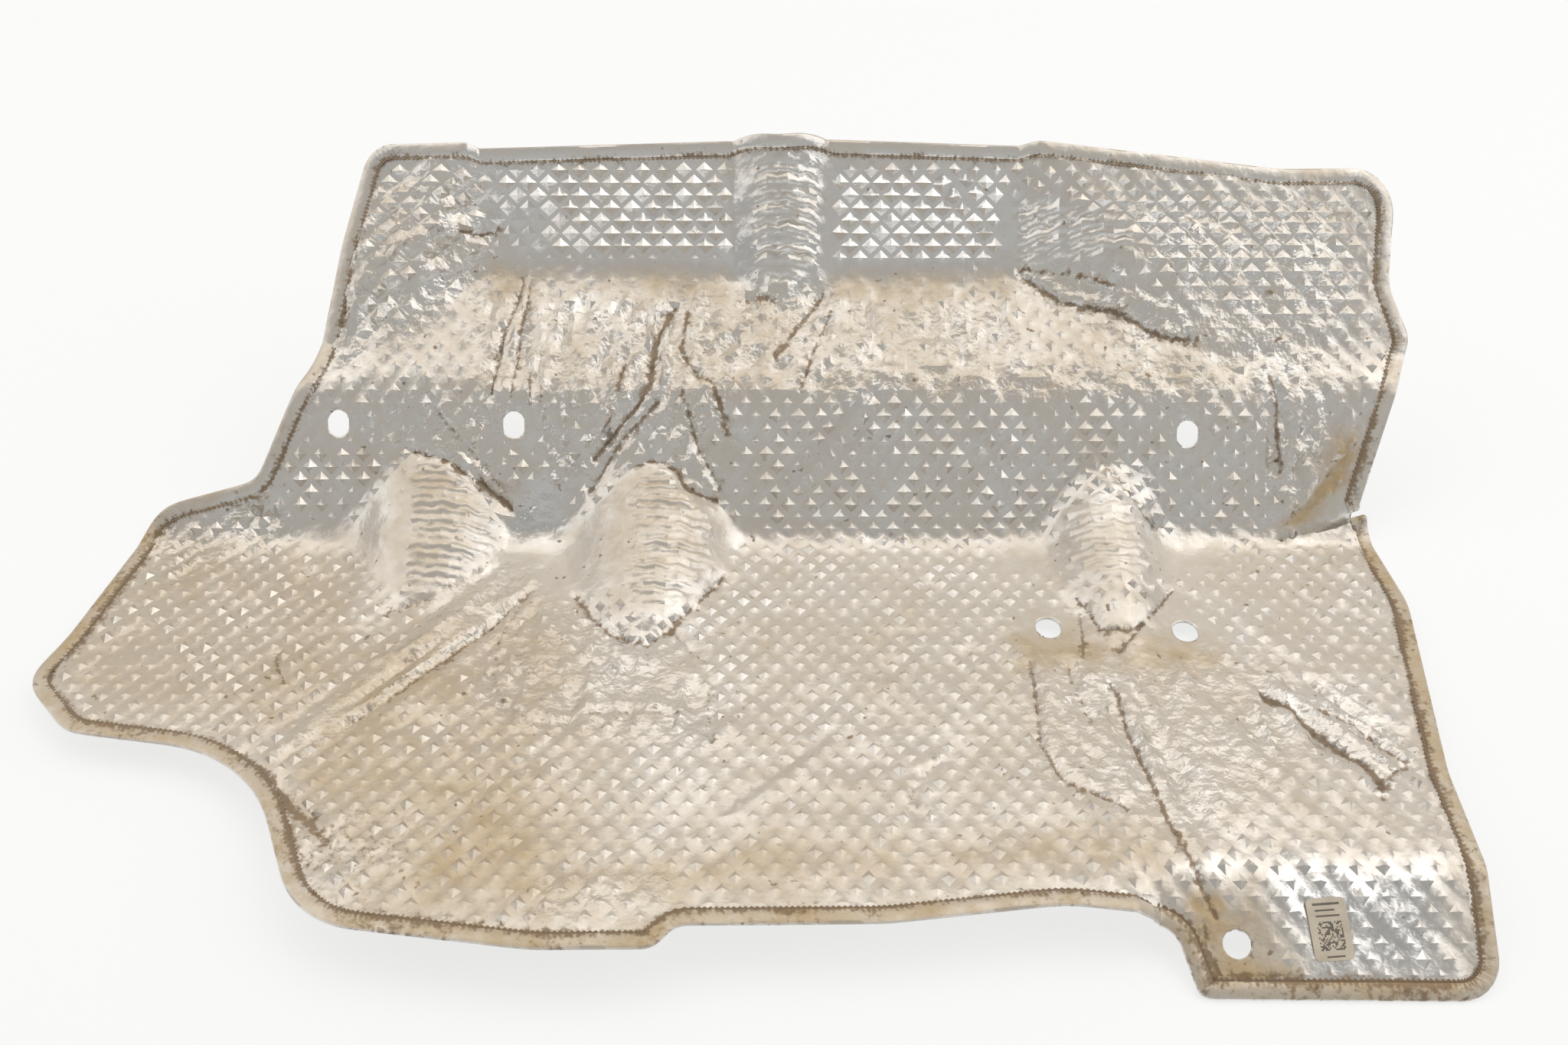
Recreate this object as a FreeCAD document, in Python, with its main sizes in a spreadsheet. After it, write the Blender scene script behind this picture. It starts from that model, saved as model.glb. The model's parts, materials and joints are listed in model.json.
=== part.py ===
import FreeCAD, Part
import math
import os
import Sketcher

# A pressed, embossed aluminium heat shield, lying as it comes to rest:
# on the heel of its floor and on its tab.
# X runs across the shield, Y from the front edge to the back, Z up. Lengths are millimetres, slopes degrees.
# It is drawn with its floor level, on the line where floor and wall would meet if the bend were sharp,
# and each piece is then turned and moved to the rest position by its Placement.

SHEET_SIZES = {
    "sheet_gauge": 1.0,
    "hem_gauge": 1.0,
    "hem_width": 6.8,
}

# The stepped section, from the floor up: wall, shelf and top panel, each a length and a slope.
SECTION_SIZES = {
    "wall_length": 76.6,
    "wall_slope": 58.0,
    "shelf_length": 68.4,
    "shelf_slope": 26.0,
    "panel_length": 80.0,
    "panel_slope": 62.0,
    "heel_round": 17.0,
    "brow_round": 13.0,
    "shelf_round": 11.0,
}

# The tab bends down from the front of the floor, beside a sloping flank.
TAB_SIZES = {
    "tab_bend": 208.0,
    "tab_slope": 30.0,
    "tab_round": 12.0,
    "tab_flank_across": 139.0,
    "tab_flank_slope": 42.0,
}

# Slanting facets fill the step between shelf and panel at both ends of the shield.
FACET_SIZES = {
    "right_facet_foot": 20.0,
    "right_facet_start": 120.0,
    "right_facet_end": 206.0,
    "left_facet_foot": 26.0,
    "left_facet_start": -156.0,
    "left_facet_end": -204.0,
}

# Round-backed gussets stiffen the bend between floor and wall. Each has its place across,
# its reach in front of the bend, the slope of its crest and the radius of its back.
GUSSETS = ("left_gusset", "middle_gusset", "right_gusset")
GUSSET_SIZES = {
    "left_gusset_across": -178.0,
    "left_gusset_reach": 52.0,
    "left_gusset_slope": 27.0,
    "left_gusset_round": 43.0,
    "middle_gusset_across": -66.0,
    "middle_gusset_reach": 76.0,
    "middle_gusset_slope": 20.0,
    "middle_gusset_round": 45.0,
    "right_gusset_across": 161.0,
    "right_gusset_reach": 82.0,
    "right_gusset_slope": 18.5,
    "right_gusset_round": 26.0,
}

# A flute stands out of the top panel, and a long tapering bead lies across the floor.
BEAD_SIZES = {
    "flute_across": -2.0,
    "flute_width": 48.0,
    "flute_height": 9.0,
    "bead_across": -153.0,
    "bead_along": -58.0,
    "bead_turn": 51.0,
    "bead_back_length": 49.0,
    "bead_front_length": 110.0,
    "bead_width": 22.0,
    "bead_height": 4.0,
}

# Fixing holes: slots in the wall and the floor, a round hole in the tab, and a slit at the end of the wall.
WALL_SLOTS = ("left_wall_slot", "middle_wall_slot", "right_wall_slot")
FLOOR_SLOTS = ("left_floor_slot", "right_floor_slot")
HOLE_SIZES = {
    "wall_slot_width": 10.7,
    "wall_slot_length": 13.6,
    "left_wall_slot_across": -223.9,
    "left_wall_slot_up": 59.3,
    "middle_wall_slot_across": -135.8,
    "middle_wall_slot_up": 58.6,
    "right_wall_slot_across": 202.9,
    "right_wall_slot_up": 54.0,
    "floor_slot_width": 11.8,
    "floor_slot_length": 14.0,
    "left_floor_slot_across": 125.4,
    "left_floor_slot_along": -65.6,
    "right_floor_slot_across": 189.9,
    "right_floor_slot_along": -68.0,
    "tab_hole_diameter": 11.6,
    "tab_hole_across": 180.1,
    "tab_hole_down": 29.8,
    "slit_start_across": 250.0,
    "slit_start_along": 0.5,
    "slit_end_across": 330.0,
    "slit_end_along": 21.5,
    "slit_width": 4.5,
}

# A paper label, stuck on the tab.
LABEL_SIZES = {
    "label_width": 16.0,
    "label_length": 24.5,
    "label_thickness": 0.2,
    "label_across": 217.5,
    "label_down": 24.0,
    "label_turn": 4.0,
}

# The cut edge, seen square to a plane that leans back by trim_lean: each corner has its place
# across and along that plane and its rounding, clockwise from the top left.
TRIM_LEAN = {"trim_lean": 20.0}
OUTLINE = (
    ("top_left", -211.0, 174.9, 16.0),
    ("flute_left", -27.0, 178.8, 12.0),
    ("flute_top", -2.0, 174.6, 30.0),
    ("flute_right", 22.5, 179.4, 12.0),
    ("top_fall", 128.0, 176.8, 90.0),
    ("top_dip", 252.0, 163.6, 60.0),
    ("top_right", 312.0, 164.0, 20.0),
    ("right_waist", 306.8, 111.5, 20.0),
    ("right_bulge", 317.2, 87.5, 12.0),
    ("wall_foot", 290.6, 13.2, 3.0),
    ("floor_back", 295.0, 11.0, 3.0),
    ("right_shoulder", 301.5, -46.0, 45.0),
    ("right_hollow", 285.4, -148.0, 60.0),
    ("tab_right", 283.0, -246.2, 17.0),
    ("tab_left", 163.5, -245.4, 6.0),
    ("tab_neck", 155.6, -218.0, 12.0),
    ("front_rise", 112.0, -212.6, 60.0),
    ("front_middle", 40.0, -221.2, 120.0),
    ("step_back", -42.0, -221.9, 9.0),
    ("step_front", -51.0, -232.2, 9.0),
    ("lobe_front", -98.0, -232.6, 120.0),
    ("lobe_left", -192.5, -220.6, 44.0),
    ("left_waist", -232.0, -138.0, 75.0),
    ("wing_front", -318.0, -125.2, 16.0),
    ("wing_tip", -346.8, -95.5, 16.0),
    ("wing_heel", -337.5, -68.0, 25.0),
    ("wing_back", -322.5, 12.5, 24.0),
    ("left_notch", -266.5, 24.2, 7.0),
    ("left_low", -238.0, 73.0, 40.0),
    ("left_high", -223.0, 137.0, 40.0),
)

# How far the tools that shape and trim the sheet reach past it.
TOOL_SIZES = {
    "tool_reach": 400.0,
    "tool_depth": 200.0,
    "tool_margin": 20.0,
}

doc = FreeCAD.newDocument("heat_shield")
spec = doc.addObject("Spreadsheet::Sheet", "Spec")


def write_sizes(sizes):
    """Adds rows to the sheet, each a name and a value with that name as its alias."""
    for name, value in sizes.items():
        row = write_sizes.next_row
        spec.set(f"A{row}", name)
        spec.set(f"B{row}", str(value))
        spec.setAlias(f"B{row}", name)
        write_sizes.next_row += 1


write_sizes.next_row = 1
for group in (
    SHEET_SIZES,
    SECTION_SIZES,
    TAB_SIZES,
    FACET_SIZES,
    GUSSET_SIZES,
    BEAD_SIZES,
    HOLE_SIZES,
    LABEL_SIZES,
    TRIM_LEAN,
    TOOL_SIZES,
):
    write_sizes(group)
for corner, across, along, rounding in OUTLINE:
    write_sizes({f"{corner}_across": across, f"{corner}_along": along, f"{corner}_round": rounding})
doc.recompute()


def cell(name):
    """The value of a named cell."""
    return float(spec.get(name))


def worked_out(expression):
    """The value that an expression on the sheet's cells has now."""
    value = spec.evalExpression(expression)
    return float(getattr(value, "Value", value))


# The planes that the sketches lie in, as turns of the XY plane.
SIDE_PLANE = FreeCAD.Rotation(FreeCAD.Vector(1, 1, 1), 120)
FRONT_PLANE = FreeCAD.Rotation(FreeCAD.Vector(1, 0, 0), 90)
PLAN_PLANE = FreeCAD.Rotation()
ACROSS = FreeCAD.Vector(1, 0, 0)


def polygon(name, rotation, corners):
    """A closed sketch whose corners are held by expressions for their two coordinates."""
    sketch = doc.addObject("Sketcher::SketchObject", name)
    sketch.Placement = FreeCAD.Placement(FreeCAD.Vector(), rotation)
    points = [FreeCAD.Vector(worked_out(x), worked_out(y), 0) for x, y in corners]
    count = len(points)
    for index, point in enumerate(points):
        sketch.addGeometry(Part.LineSegment(point, points[(index + 1) % count]))
    for index in range(count):
        sketch.addConstraint(Sketcher.Constraint("Coincident", index, 2, (index + 1) % count, 1))
    for index, (x, y) in enumerate(corners):
        for kind, expression, value in (("DistanceX", x, points[index].x), ("DistanceY", y, points[index].y)):
            held = sketch.addConstraint(Sketcher.Constraint(kind, -1, 1, index, 1, value))
            sketch.setExpression(f"Constraints[{held}]", expression)
    return sketch


def extrusion(name, base, direction, before, after):
    """A solid swept from a sketch along a direction, by lengths that are expressions."""
    solid = doc.addObject("Part::Extrusion", name)
    solid.Base = base
    solid.DirMode = "Custom"
    solid.Dir = direction
    solid.Solid = True
    solid.setExpression("LengthFwd", after)
    solid.setExpression("LengthRev", before)
    return solid


def joined(name, shapes):
    """One solid from several that meet."""
    fuse = doc.addObject("Part::MultiFuse", name)
    fuse.Shapes = shapes
    return fuse


def cut(name, base, tool):
    """Base with tool taken away."""
    result = doc.addObject("Part::Cut", name)
    result.Base = base
    result.Tool = tool
    return result


def overlap(name, base, tool):
    """What base and tool share."""
    result = doc.addObject("Part::Common", name)
    result.Base = base
    result.Tool = tool
    return result


def rounded(name, base, edges):
    """Base with the given edges rounded: (edge number, radius) pairs."""
    fillet = doc.addObject("Part::Fillet", name)
    fillet.Base = base
    fillet.Edges = [(number, radius, radius) for number, radius in edges]
    return fillet


def shifted(name, base, along, up):
    """A copy of a solid, moved by expressions along Y and Z."""
    copy = doc.addObject("Part::Compound", name)
    copy.Links = [base]
    copy.setExpression("Placement.Base.y", along)
    copy.setExpression("Placement.Base.z", up)
    return copy


def edges_through(shape, point, direction):
    """The numbers of the straight edges that lie on the line through a point."""
    found = []
    for number, edge in enumerate(shape.Edges, 1):
        if edge.Curve.TypeId != "Part::GeomLine":
            continue
        ends = [vertex.Point for vertex in edge.Vertexes]
        if all((end - point).cross(direction).Length < 1e-4 for end in ends):
            found.append(number)
    return found


# The stepped block whose face is the shield's face: floor, wall, shelf and panel, one section all across.
WALL_Y = "Spec.wall_length * cos(Spec.wall_slope * 1 deg)"
WALL_Z = "Spec.wall_length * sin(Spec.wall_slope * 1 deg)"
SHELF_Y = f"{WALL_Y} + Spec.shelf_length * cos(Spec.shelf_slope * 1 deg)"
SHELF_Z = f"{WALL_Z} + Spec.shelf_length * sin(Spec.shelf_slope * 1 deg)"
PANEL_Y = f"{SHELF_Y} + Spec.panel_length * cos(Spec.panel_slope * 1 deg)"
PANEL_Z = f"{SHELF_Z} + Spec.panel_length * sin(Spec.panel_slope * 1 deg)"

section = polygon(
    "section",
    SIDE_PLANE,
    (
        ("-Spec.tool_reach", "0"),
        ("0", "0"),
        (WALL_Y, WALL_Z),
        (SHELF_Y, SHELF_Z),
        (PANEL_Y, PANEL_Z),
        ("Spec.tool_reach", PANEL_Z),
        ("Spec.tool_reach", "-Spec.tool_depth"),
        ("-Spec.tool_reach", "-Spec.tool_depth"),
    ),
)
stepped_block = extrusion("stepped_block", section, ACROSS, "Spec.tool_reach", "Spec.tool_reach")

# The tab: what lies above its slope and its flank is cut from the front of the block.
TAB_FALL = "tan(Spec.tab_slope * 1 deg) * (Spec.tool_reach + Spec.tool_margin - Spec.tab_bend)"
tab_section = polygon(
    "tab_section",
    SIDE_PLANE,
    (
        ("-Spec.tab_bend", "0"),
        ("-Spec.tab_bend", "Spec.tool_margin"),
        ("-Spec.tool_reach - Spec.tool_margin", "Spec.tool_margin"),
        ("-Spec.tool_reach - Spec.tool_margin", f"-{TAB_FALL}"),
    ),
)
tab_space = extrusion("tab_space", tab_section, ACROSS, "0", "Spec.tool_reach + Spec.tool_margin")
FLANK_REACH = "(Spec.tool_reach + Spec.tool_margin - Spec.tab_flank_across)"
FLANK_FALL = f"tan(Spec.tab_flank_slope * 1 deg) * {FLANK_REACH}"
flank_section = polygon(
    "flank_section",
    FRONT_PLANE,
    (
        ("Spec.tab_flank_across", "0"),
        ("Spec.tool_reach + Spec.tool_margin", f"-{FLANK_FALL}"),
        ("Spec.tool_reach + Spec.tool_margin", "Spec.tool_margin"),
        ("Spec.tab_flank_across", "Spec.tool_margin"),
    ),
)
flank_space = extrusion(
    "flank_space", flank_section, FreeCAD.Vector(0, -1, 0), "0", "Spec.tool_reach + 2 * Spec.tool_margin"
)
tab_cutter = overlap("tab_cutter", tab_space, flank_space)
tabbed_block = cut("tabbed_block", stepped_block, tab_cutter)


def facet(side):
    """A slanting filler between shelf and panel, from the panel at its start to its foot at its end."""
    foot = f"Spec.{side}_facet_foot"
    foot_y = f"{WALL_Y} + {foot} * cos(Spec.shelf_slope * 1 deg)"
    foot_z = f"{WALL_Z} + {foot} * sin(Spec.shelf_slope * 1 deg)"
    face = polygon(
        f"{side}_facet_section",
        SIDE_PLANE,
        ((foot_y, foot_z), (PANEL_Y, PANEL_Z), (PANEL_Y, "0"), (foot_y, "0")),
    )
    prism = extrusion(f"{side}_facet_prism", face, ACROSS, "Spec.tool_reach", "Spec.tool_reach")
    # Its end face runs up the panel, so its plan is drawn where the panel's slope meets the floor.
    plan_front = f"{foot_y} - ({foot_z}) / tan(Spec.panel_slope * 1 deg)"
    plan_back = f"{SHELF_Y} - ({SHELF_Z}) / tan(Spec.panel_slope * 1 deg)"
    outer = "Spec.tool_reach" if side == "right" else "-Spec.tool_reach"
    plan = polygon(
        f"{side}_facet_plan",
        PLAN_PLANE,
        (
            (f"Spec.{side}_facet_end", plan_front),
            (outer, plan_front),
            (outer, plan_back),
            (f"Spec.{side}_facet_start", plan_back),
        ),
    )
    slope = math.radians(cell("panel_slope"))
    up_panel = FreeCAD.Vector(0, math.cos(slope), math.sin(slope))
    space = extrusion(f"{side}_facet_space", plan, up_panel, "0", "Spec.tool_reach")
    return overlap(f"{side}_facet", prism, space)


doc.recompute()
bend_lines = (
    (FreeCAD.Vector(0, 0, 0), cell("heel_round")),
    (FreeCAD.Vector(0, worked_out(WALL_Y), worked_out(WALL_Z)), cell("brow_round")),
    (FreeCAD.Vector(0, worked_out(SHELF_Y), worked_out(SHELF_Z)), cell("shelf_round")),
    (FreeCAD.Vector(0, -cell("tab_bend"), 0), cell("tab_round")),
)
bend_edges = []
for point, radius in bend_lines:
    for number in edges_through(tabbed_block.Shape, point, ACROSS):
        bend_edges.append((number, radius))
bent_block = rounded("bent_block", tabbed_block, bend_edges)


def round_back(name, across, foot_y, foot_z, slope, radius, start, length):
    """A cylinder that lies along a slope with its back on the line through the foot, given by expressions."""
    back = doc.addObject("Part::Cylinder", name)
    back.Placement = FreeCAD.Placement(FreeCAD.Vector(), FreeCAD.Rotation(ACROSS, 1))
    run = f"cos({slope} * 1 deg)"
    rise = f"sin({slope} * 1 deg)"
    back.setExpression("Radius", radius)
    back.setExpression("Height", f"{start} + {length}")
    back.setExpression("Placement.Base.x", across)
    back.setExpression("Placement.Base.y", f"{foot_y} + ({radius}) * {rise} - ({start}) * {run}")
    back.setExpression("Placement.Base.z", f"{foot_z} - ({radius}) * {run} - ({start}) * {rise}")
    back.setExpression("Placement.Rotation.Angle", f"({slope} - 90) * 1 deg")
    return back


# The gussets run from inside the floor to inside the wall.
gussets = []
for gusset in GUSSETS:
    size = f"Spec.{gusset}"
    gussets.append(
        round_back(
            gusset,
            f"{size}_across",
            f"-{size}_reach",
            "0",
            f"{size}_slope",
            f"{size}_round",
            "Spec.tool_margin",
            f"{size}_reach + {WALL_Y}",
        )
    )

# The flute is a segment of a cylinder that stands its height out of the panel.
FLUTE_ROUND = "(Spec.flute_width ^ 2 / 4 + Spec.flute_height ^ 2) / (2 * Spec.flute_height)"
FLUTE_Y = f"{SHELF_Y} - Spec.flute_height * sin(Spec.panel_slope * 1 deg)"
FLUTE_Z = f"{SHELF_Z} + Spec.flute_height * cos(Spec.panel_slope * 1 deg)"
flute = round_back(
    "flute",
    "Spec.flute_across",
    FLUTE_Y,
    FLUTE_Z,
    "Spec.panel_slope",
    FLUTE_ROUND,
    "2 * Spec.tool_margin",
    "Spec.panel_length",
)

# The floor bead is two cones end to end on their sides, their thick ends sunk
# until they stand out by the bead's height.
BEAD_ROUND = "(Spec.bead_width ^ 2 / 4 + Spec.bead_height ^ 2) / (2 * Spec.bead_height)"
UPWARDS = FreeCAD.Vector(0, 0, 1)
bead_sunk = cell("bead_height") - worked_out(BEAD_ROUND)
bead_top = FreeCAD.Vector(cell("bead_across"), cell("bead_along"), bead_sunk)
to_back = FreeCAD.Rotation(UPWARDS, cell("bead_turn")).multVec(ACROSS)
floor_bead = []
for end, direction in (("back", to_back), ("front", -to_back)):
    half = doc.addObject("Part::Cone", f"bead_{end}")
    half.setExpression("Radius1", BEAD_ROUND)
    half.setExpression("Radius2", f"{BEAD_ROUND} - Spec.bead_height")
    half.setExpression("Height", f"Spec.bead_{end}_length")
    half.Placement = FreeCAD.Placement(bead_top, FreeCAD.Rotation(UPWARDS, direction))
    floor_bead.append(half)

form = joined("form", [bent_block, facet("left"), facet("right"), *gussets, flute, *floor_bead])

# The sheet is what lies between the form and the same form set back by the gauge.
SET_BACK = "0.5"
form_below = shifted("form_below", form, f"{SET_BACK} * Spec.sheet_gauge", "-Spec.sheet_gauge")
form_above = shifted("form_above", form, f"-{SET_BACK} * Spec.hem_gauge", "Spec.hem_gauge")
pressed_sheet = cut("pressed_sheet", form, form_below)
hem_layer = cut("hem_layer", form_above, form)

# The cut edge, rounded at its corners, and the same edge set in by the hem's width.
lean = FreeCAD.Rotation(ACROSS, cell("trim_lean"))
trim_direction = lean.multVec(FreeCAD.Vector(0, 0, 1))
outline = polygon(
    "outline",
    lean,
    [(f"Spec.{corner}_across", f"Spec.{corner}_along") for corner, *sizes in OUTLINE],
)
trim_prism = extrusion("trim_prism", outline, trim_direction, "Spec.tool_reach", "Spec.tool_reach")
doc.recompute()


def fitting_round(index):
    """A corner's rounding, limited so that it leaves room for its neighbours on both sides."""
    points = [
        FreeCAD.Vector(cell(f"{corner}_across"), cell(f"{corner}_along"), 0) for corner, *sizes in OUTLINE
    ]
    here = points[index]
    before = points[index - 1] - here
    after = points[(index + 1) % len(points)] - here
    half_turn = (math.pi - before.getAngle(after)) / 2
    room = 0.47 * min(before.Length, after.Length)
    return min(cell(f"{OUTLINE[index][0]}_round"), room / math.tan(half_turn))


corner_edges = []
for index, (corner, *sizes) in enumerate(OUTLINE):
    place = lean.multVec(FreeCAD.Vector(cell(f"{corner}_across"), cell(f"{corner}_along"), 0))
    for number in edges_through(trim_prism.Shape, place, trim_direction):
        corner_edges.append((number, fitting_round(index)))
outer_trim = rounded("outer_trim", trim_prism, corner_edges)

hem_outline = doc.addObject("Part::Offset2D", "hem_outline")
hem_outline.Source = outline
hem_outline.Join = "Intersection"
hem_outline.setExpression("Value", "-Spec.hem_width")
inner_trim = extrusion("inner_trim", hem_outline, trim_direction, "Spec.tool_reach", "Spec.tool_reach")

hem_ring = cut("hem_ring", outer_trim, inner_trim)
trimmed_sheet = overlap("trimmed_sheet", pressed_sheet, outer_trim)
hem = overlap("hem", hem_layer, hem_ring)
hemmed_sheet = joined("hemmed_sheet", [trimmed_sheet, hem])


def slot_cutter(name, across, along, up, slope, width, length):
    """A slot-shaped cutter, square to a face of the given slope, its long way up the slope."""
    ends = []
    for end, side in (("low", "-1"), ("high", "1")):
        bore = doc.addObject("Part::Cylinder", f"{name}_{end}")
        bore.Placement = FreeCAD.Placement(FreeCAD.Vector(), FreeCAD.Rotation(ACROSS, 1))
        half = f"({length} - {width}) / 2 * {side}"
        run = f"cos({slope} * 1 deg)"
        rise = f"sin({slope} * 1 deg)"
        bore.setExpression("Radius", f"{width} / 2")
        bore.setExpression("Height", "2 * Spec.tool_margin")
        bore.setExpression("Placement.Base.x", across)
        bore.setExpression("Placement.Base.y", f"{along} + {half} * {run} + Spec.tool_margin * {rise}")
        bore.setExpression("Placement.Base.z", f"{up} + {half} * {rise} - Spec.tool_margin * {run}")
        bore.setExpression("Placement.Rotation.Angle", f"{slope} * 1 deg")
        ends.append(bore)
    middle = doc.addObject("Part::Box", f"{name}_middle")
    middle.Placement = FreeCAD.Placement(FreeCAD.Vector(), FreeCAD.Rotation(ACROSS, 1))
    middle.setExpression("Length", width)
    middle.setExpression("Width", f"{length} - {width}")
    middle.setExpression("Height", "2 * Spec.tool_margin")
    middle.setExpression("Placement.Base.x", f"{across} - {width} / 2")
    middle.setExpression("Placement.Base.y", f"{along} - {half} * {run} + Spec.tool_margin * {rise}")
    middle.setExpression("Placement.Base.z", f"{up} - {half} * {rise} - Spec.tool_margin * {run}")
    middle.setExpression("Placement.Rotation.Angle", f"{slope} * 1 deg")
    return joined(name, [middle, *ends])


cutters = []
for slot in WALL_SLOTS:
    cutters.append(
        slot_cutter(
            slot,
            f"Spec.{slot}_across",
            f"Spec.{slot}_up * cos(Spec.wall_slope * 1 deg)",
            f"Spec.{slot}_up * sin(Spec.wall_slope * 1 deg)",
            "Spec.wall_slope",
            "Spec.wall_slot_width",
            "Spec.wall_slot_length",
        )
    )
for slot in FLOOR_SLOTS:
    cutters.append(
        slot_cutter(
            slot,
            f"Spec.{slot}_across",
            f"Spec.{slot}_along",
            "0",
            "0",
            "Spec.floor_slot_width",
            "Spec.floor_slot_length",
        )
    )

# The tab's round hole, square to the tab.
TAB_RUN = "cos(Spec.tab_slope * 1 deg)"
TAB_RISE = "sin(Spec.tab_slope * 1 deg)"
tab_hole = doc.addObject("Part::Cylinder", "tab_hole")
tab_hole.Placement = FreeCAD.Placement(FreeCAD.Vector(), FreeCAD.Rotation(ACROSS, 1))
tab_hole.setExpression("Radius", "Spec.tab_hole_diameter / 2")
tab_hole.setExpression("Height", "2 * Spec.tool_margin")
tab_hole.setExpression("Placement.Base.x", "Spec.tab_hole_across")
tab_hole.setExpression(
    "Placement.Base.y", f"-Spec.tab_bend - Spec.tab_hole_down * {TAB_RUN} + Spec.tool_margin * {TAB_RISE}"
)
tab_hole.setExpression("Placement.Base.z", f"-Spec.tab_hole_down * {TAB_RISE} - Spec.tool_margin * {TAB_RUN}")
tab_hole.setExpression("Placement.Rotation.Angle", "Spec.tab_slope * 1 deg")
cutters.append(tab_hole)

# The slit that frees the right end of the wall from the floor opens towards the edge.
slit_outline = polygon(
    "slit_outline",
    lean,
    (
        ("Spec.slit_start_across", "Spec.slit_start_along"),
        ("Spec.slit_end_across", "Spec.slit_end_along - Spec.slit_width / 2"),
        ("Spec.slit_end_across", "Spec.slit_end_along + Spec.slit_width / 2"),
    ),
)
cutters.append(extrusion("slit", slit_outline, trim_direction, "Spec.tool_reach", "Spec.tool_reach"))

shield = cut("heat_shield", hemmed_sheet, joined("cutters", cutters))
shield.Label = "heat_shield"

label = doc.addObject("Part::Box", "label")
label.Label = "label"
label.setExpression("Length", "Spec.label_width")
label.setExpression("Width", "Spec.label_length")
label.setExpression("Height", "Spec.label_thickness")
doc.recompute()

# At rest the shield tips forward about its heel until the tab touches the ground.
heel_y = -cell("heel_round") * math.tan(math.radians(cell("wall_slope") / 2))
heel_z = -cell("sheet_gauge")
tilt = 0.0
for vertex in shield.Shape.Vertexes:
    if vertex.Y < -cell("tab_bend"):
        tilt = max(tilt, math.degrees(math.atan2(heel_z - vertex.Z, heel_y - vertex.Y)))
turn = FreeCAD.Placement(FreeCAD.Vector(), FreeCAD.Rotation(ACROSS, -tilt))
box = shield.Shape.transformed(turn.toMatrix(), True).optimalBoundingBox(False, False)
centre = FreeCAD.Vector((box.XMin + box.XMax) / 2, (box.YMin + box.YMax) / 2, box.ZMin)
rest = FreeCAD.Placement(-centre, FreeCAD.Rotation()).multiply(turn)
shield.Placement = rest

# The label lies flat on the tab, turned a little, and goes to the rest position with the shield.
slope = FreeCAD.Rotation(ACROSS, cell("tab_slope"))
label_centre = FreeCAD.Vector(cell("label_across"), -cell("tab_bend"), 0)
label_centre += slope.multVec(FreeCAD.Vector(0, -cell("label_down"), 0))
label_corner = FreeCAD.Placement(
    FreeCAD.Vector(-cell("label_width") / 2, -cell("label_length") / 2, 0), FreeCAD.Rotation()
)
on_tab = FreeCAD.Placement(
    label_centre, slope.multiply(FreeCAD.Rotation(FreeCAD.Vector(0, 0, 1), cell("label_turn")))
)
label.Placement = rest.multiply(on_tab).multiply(label_corner)
doc.recompute()

for item in doc.Objects:
    if "Invalid" in item.State or "Error" in item.State:
        raise RuntimeError(f"{item.Name} failed: {item.State}")
os.makedirs("parts", exist_ok=True)
for piece in (shield, label):
    if piece.Shape.isNull() or not piece.Shape.isValid():
        raise RuntimeError(f"{piece.Label} has no valid shape")
    piece.Shape.exportStep(f"parts/{piece.Label}.step")
    bounds = piece.Shape.BoundBox
    print(piece.Label, len(piece.Shape.Solids), "solid", round(piece.Shape.Volume), "mm3", bounds)
print("rest tilt", round(tilt, 3), "degrees, moved by", rest.Base)
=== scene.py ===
import bmesh
import bpy
import json
import math
import numpy as np
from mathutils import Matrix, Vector, noise
from mathutils.bvhtree import BVHTree
from mathutils.kdtree import KDTree


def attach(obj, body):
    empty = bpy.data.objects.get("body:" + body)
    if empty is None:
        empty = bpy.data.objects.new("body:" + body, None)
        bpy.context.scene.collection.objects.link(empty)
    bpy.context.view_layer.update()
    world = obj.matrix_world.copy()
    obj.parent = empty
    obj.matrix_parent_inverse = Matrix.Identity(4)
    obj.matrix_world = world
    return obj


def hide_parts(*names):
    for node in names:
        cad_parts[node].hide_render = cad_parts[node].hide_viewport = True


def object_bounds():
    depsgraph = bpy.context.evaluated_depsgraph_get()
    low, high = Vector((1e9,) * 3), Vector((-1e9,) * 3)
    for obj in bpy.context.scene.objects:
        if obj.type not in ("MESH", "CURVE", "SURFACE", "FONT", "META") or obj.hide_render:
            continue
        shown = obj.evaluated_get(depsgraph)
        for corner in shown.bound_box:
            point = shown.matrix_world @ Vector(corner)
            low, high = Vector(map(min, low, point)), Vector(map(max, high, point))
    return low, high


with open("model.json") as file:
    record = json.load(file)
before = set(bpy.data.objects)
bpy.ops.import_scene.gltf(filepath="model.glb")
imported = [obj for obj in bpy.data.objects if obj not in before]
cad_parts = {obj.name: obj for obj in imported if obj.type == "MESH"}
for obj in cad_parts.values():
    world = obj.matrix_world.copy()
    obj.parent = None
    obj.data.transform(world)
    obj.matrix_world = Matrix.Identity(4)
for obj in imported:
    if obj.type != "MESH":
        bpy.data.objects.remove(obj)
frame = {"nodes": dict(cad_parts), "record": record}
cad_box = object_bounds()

# The camera stands where the photograph was taken from: in front of the shield, looking down on it.
# Its place and lens were worked out from the shield's straight bends. Places on the sheet that are
# read off the photograph are given as pixels of it.
MM = 0.001
PHOTO_WIDTH = 2048
PHOTO_HEIGHT = 1365
FOCAL_PIXELS = 2050.0
CAMERA_PLACE = Vector((14.1, -504.0, 569.6)) * MM
CAMERA_PITCH = math.radians(45.06)

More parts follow.
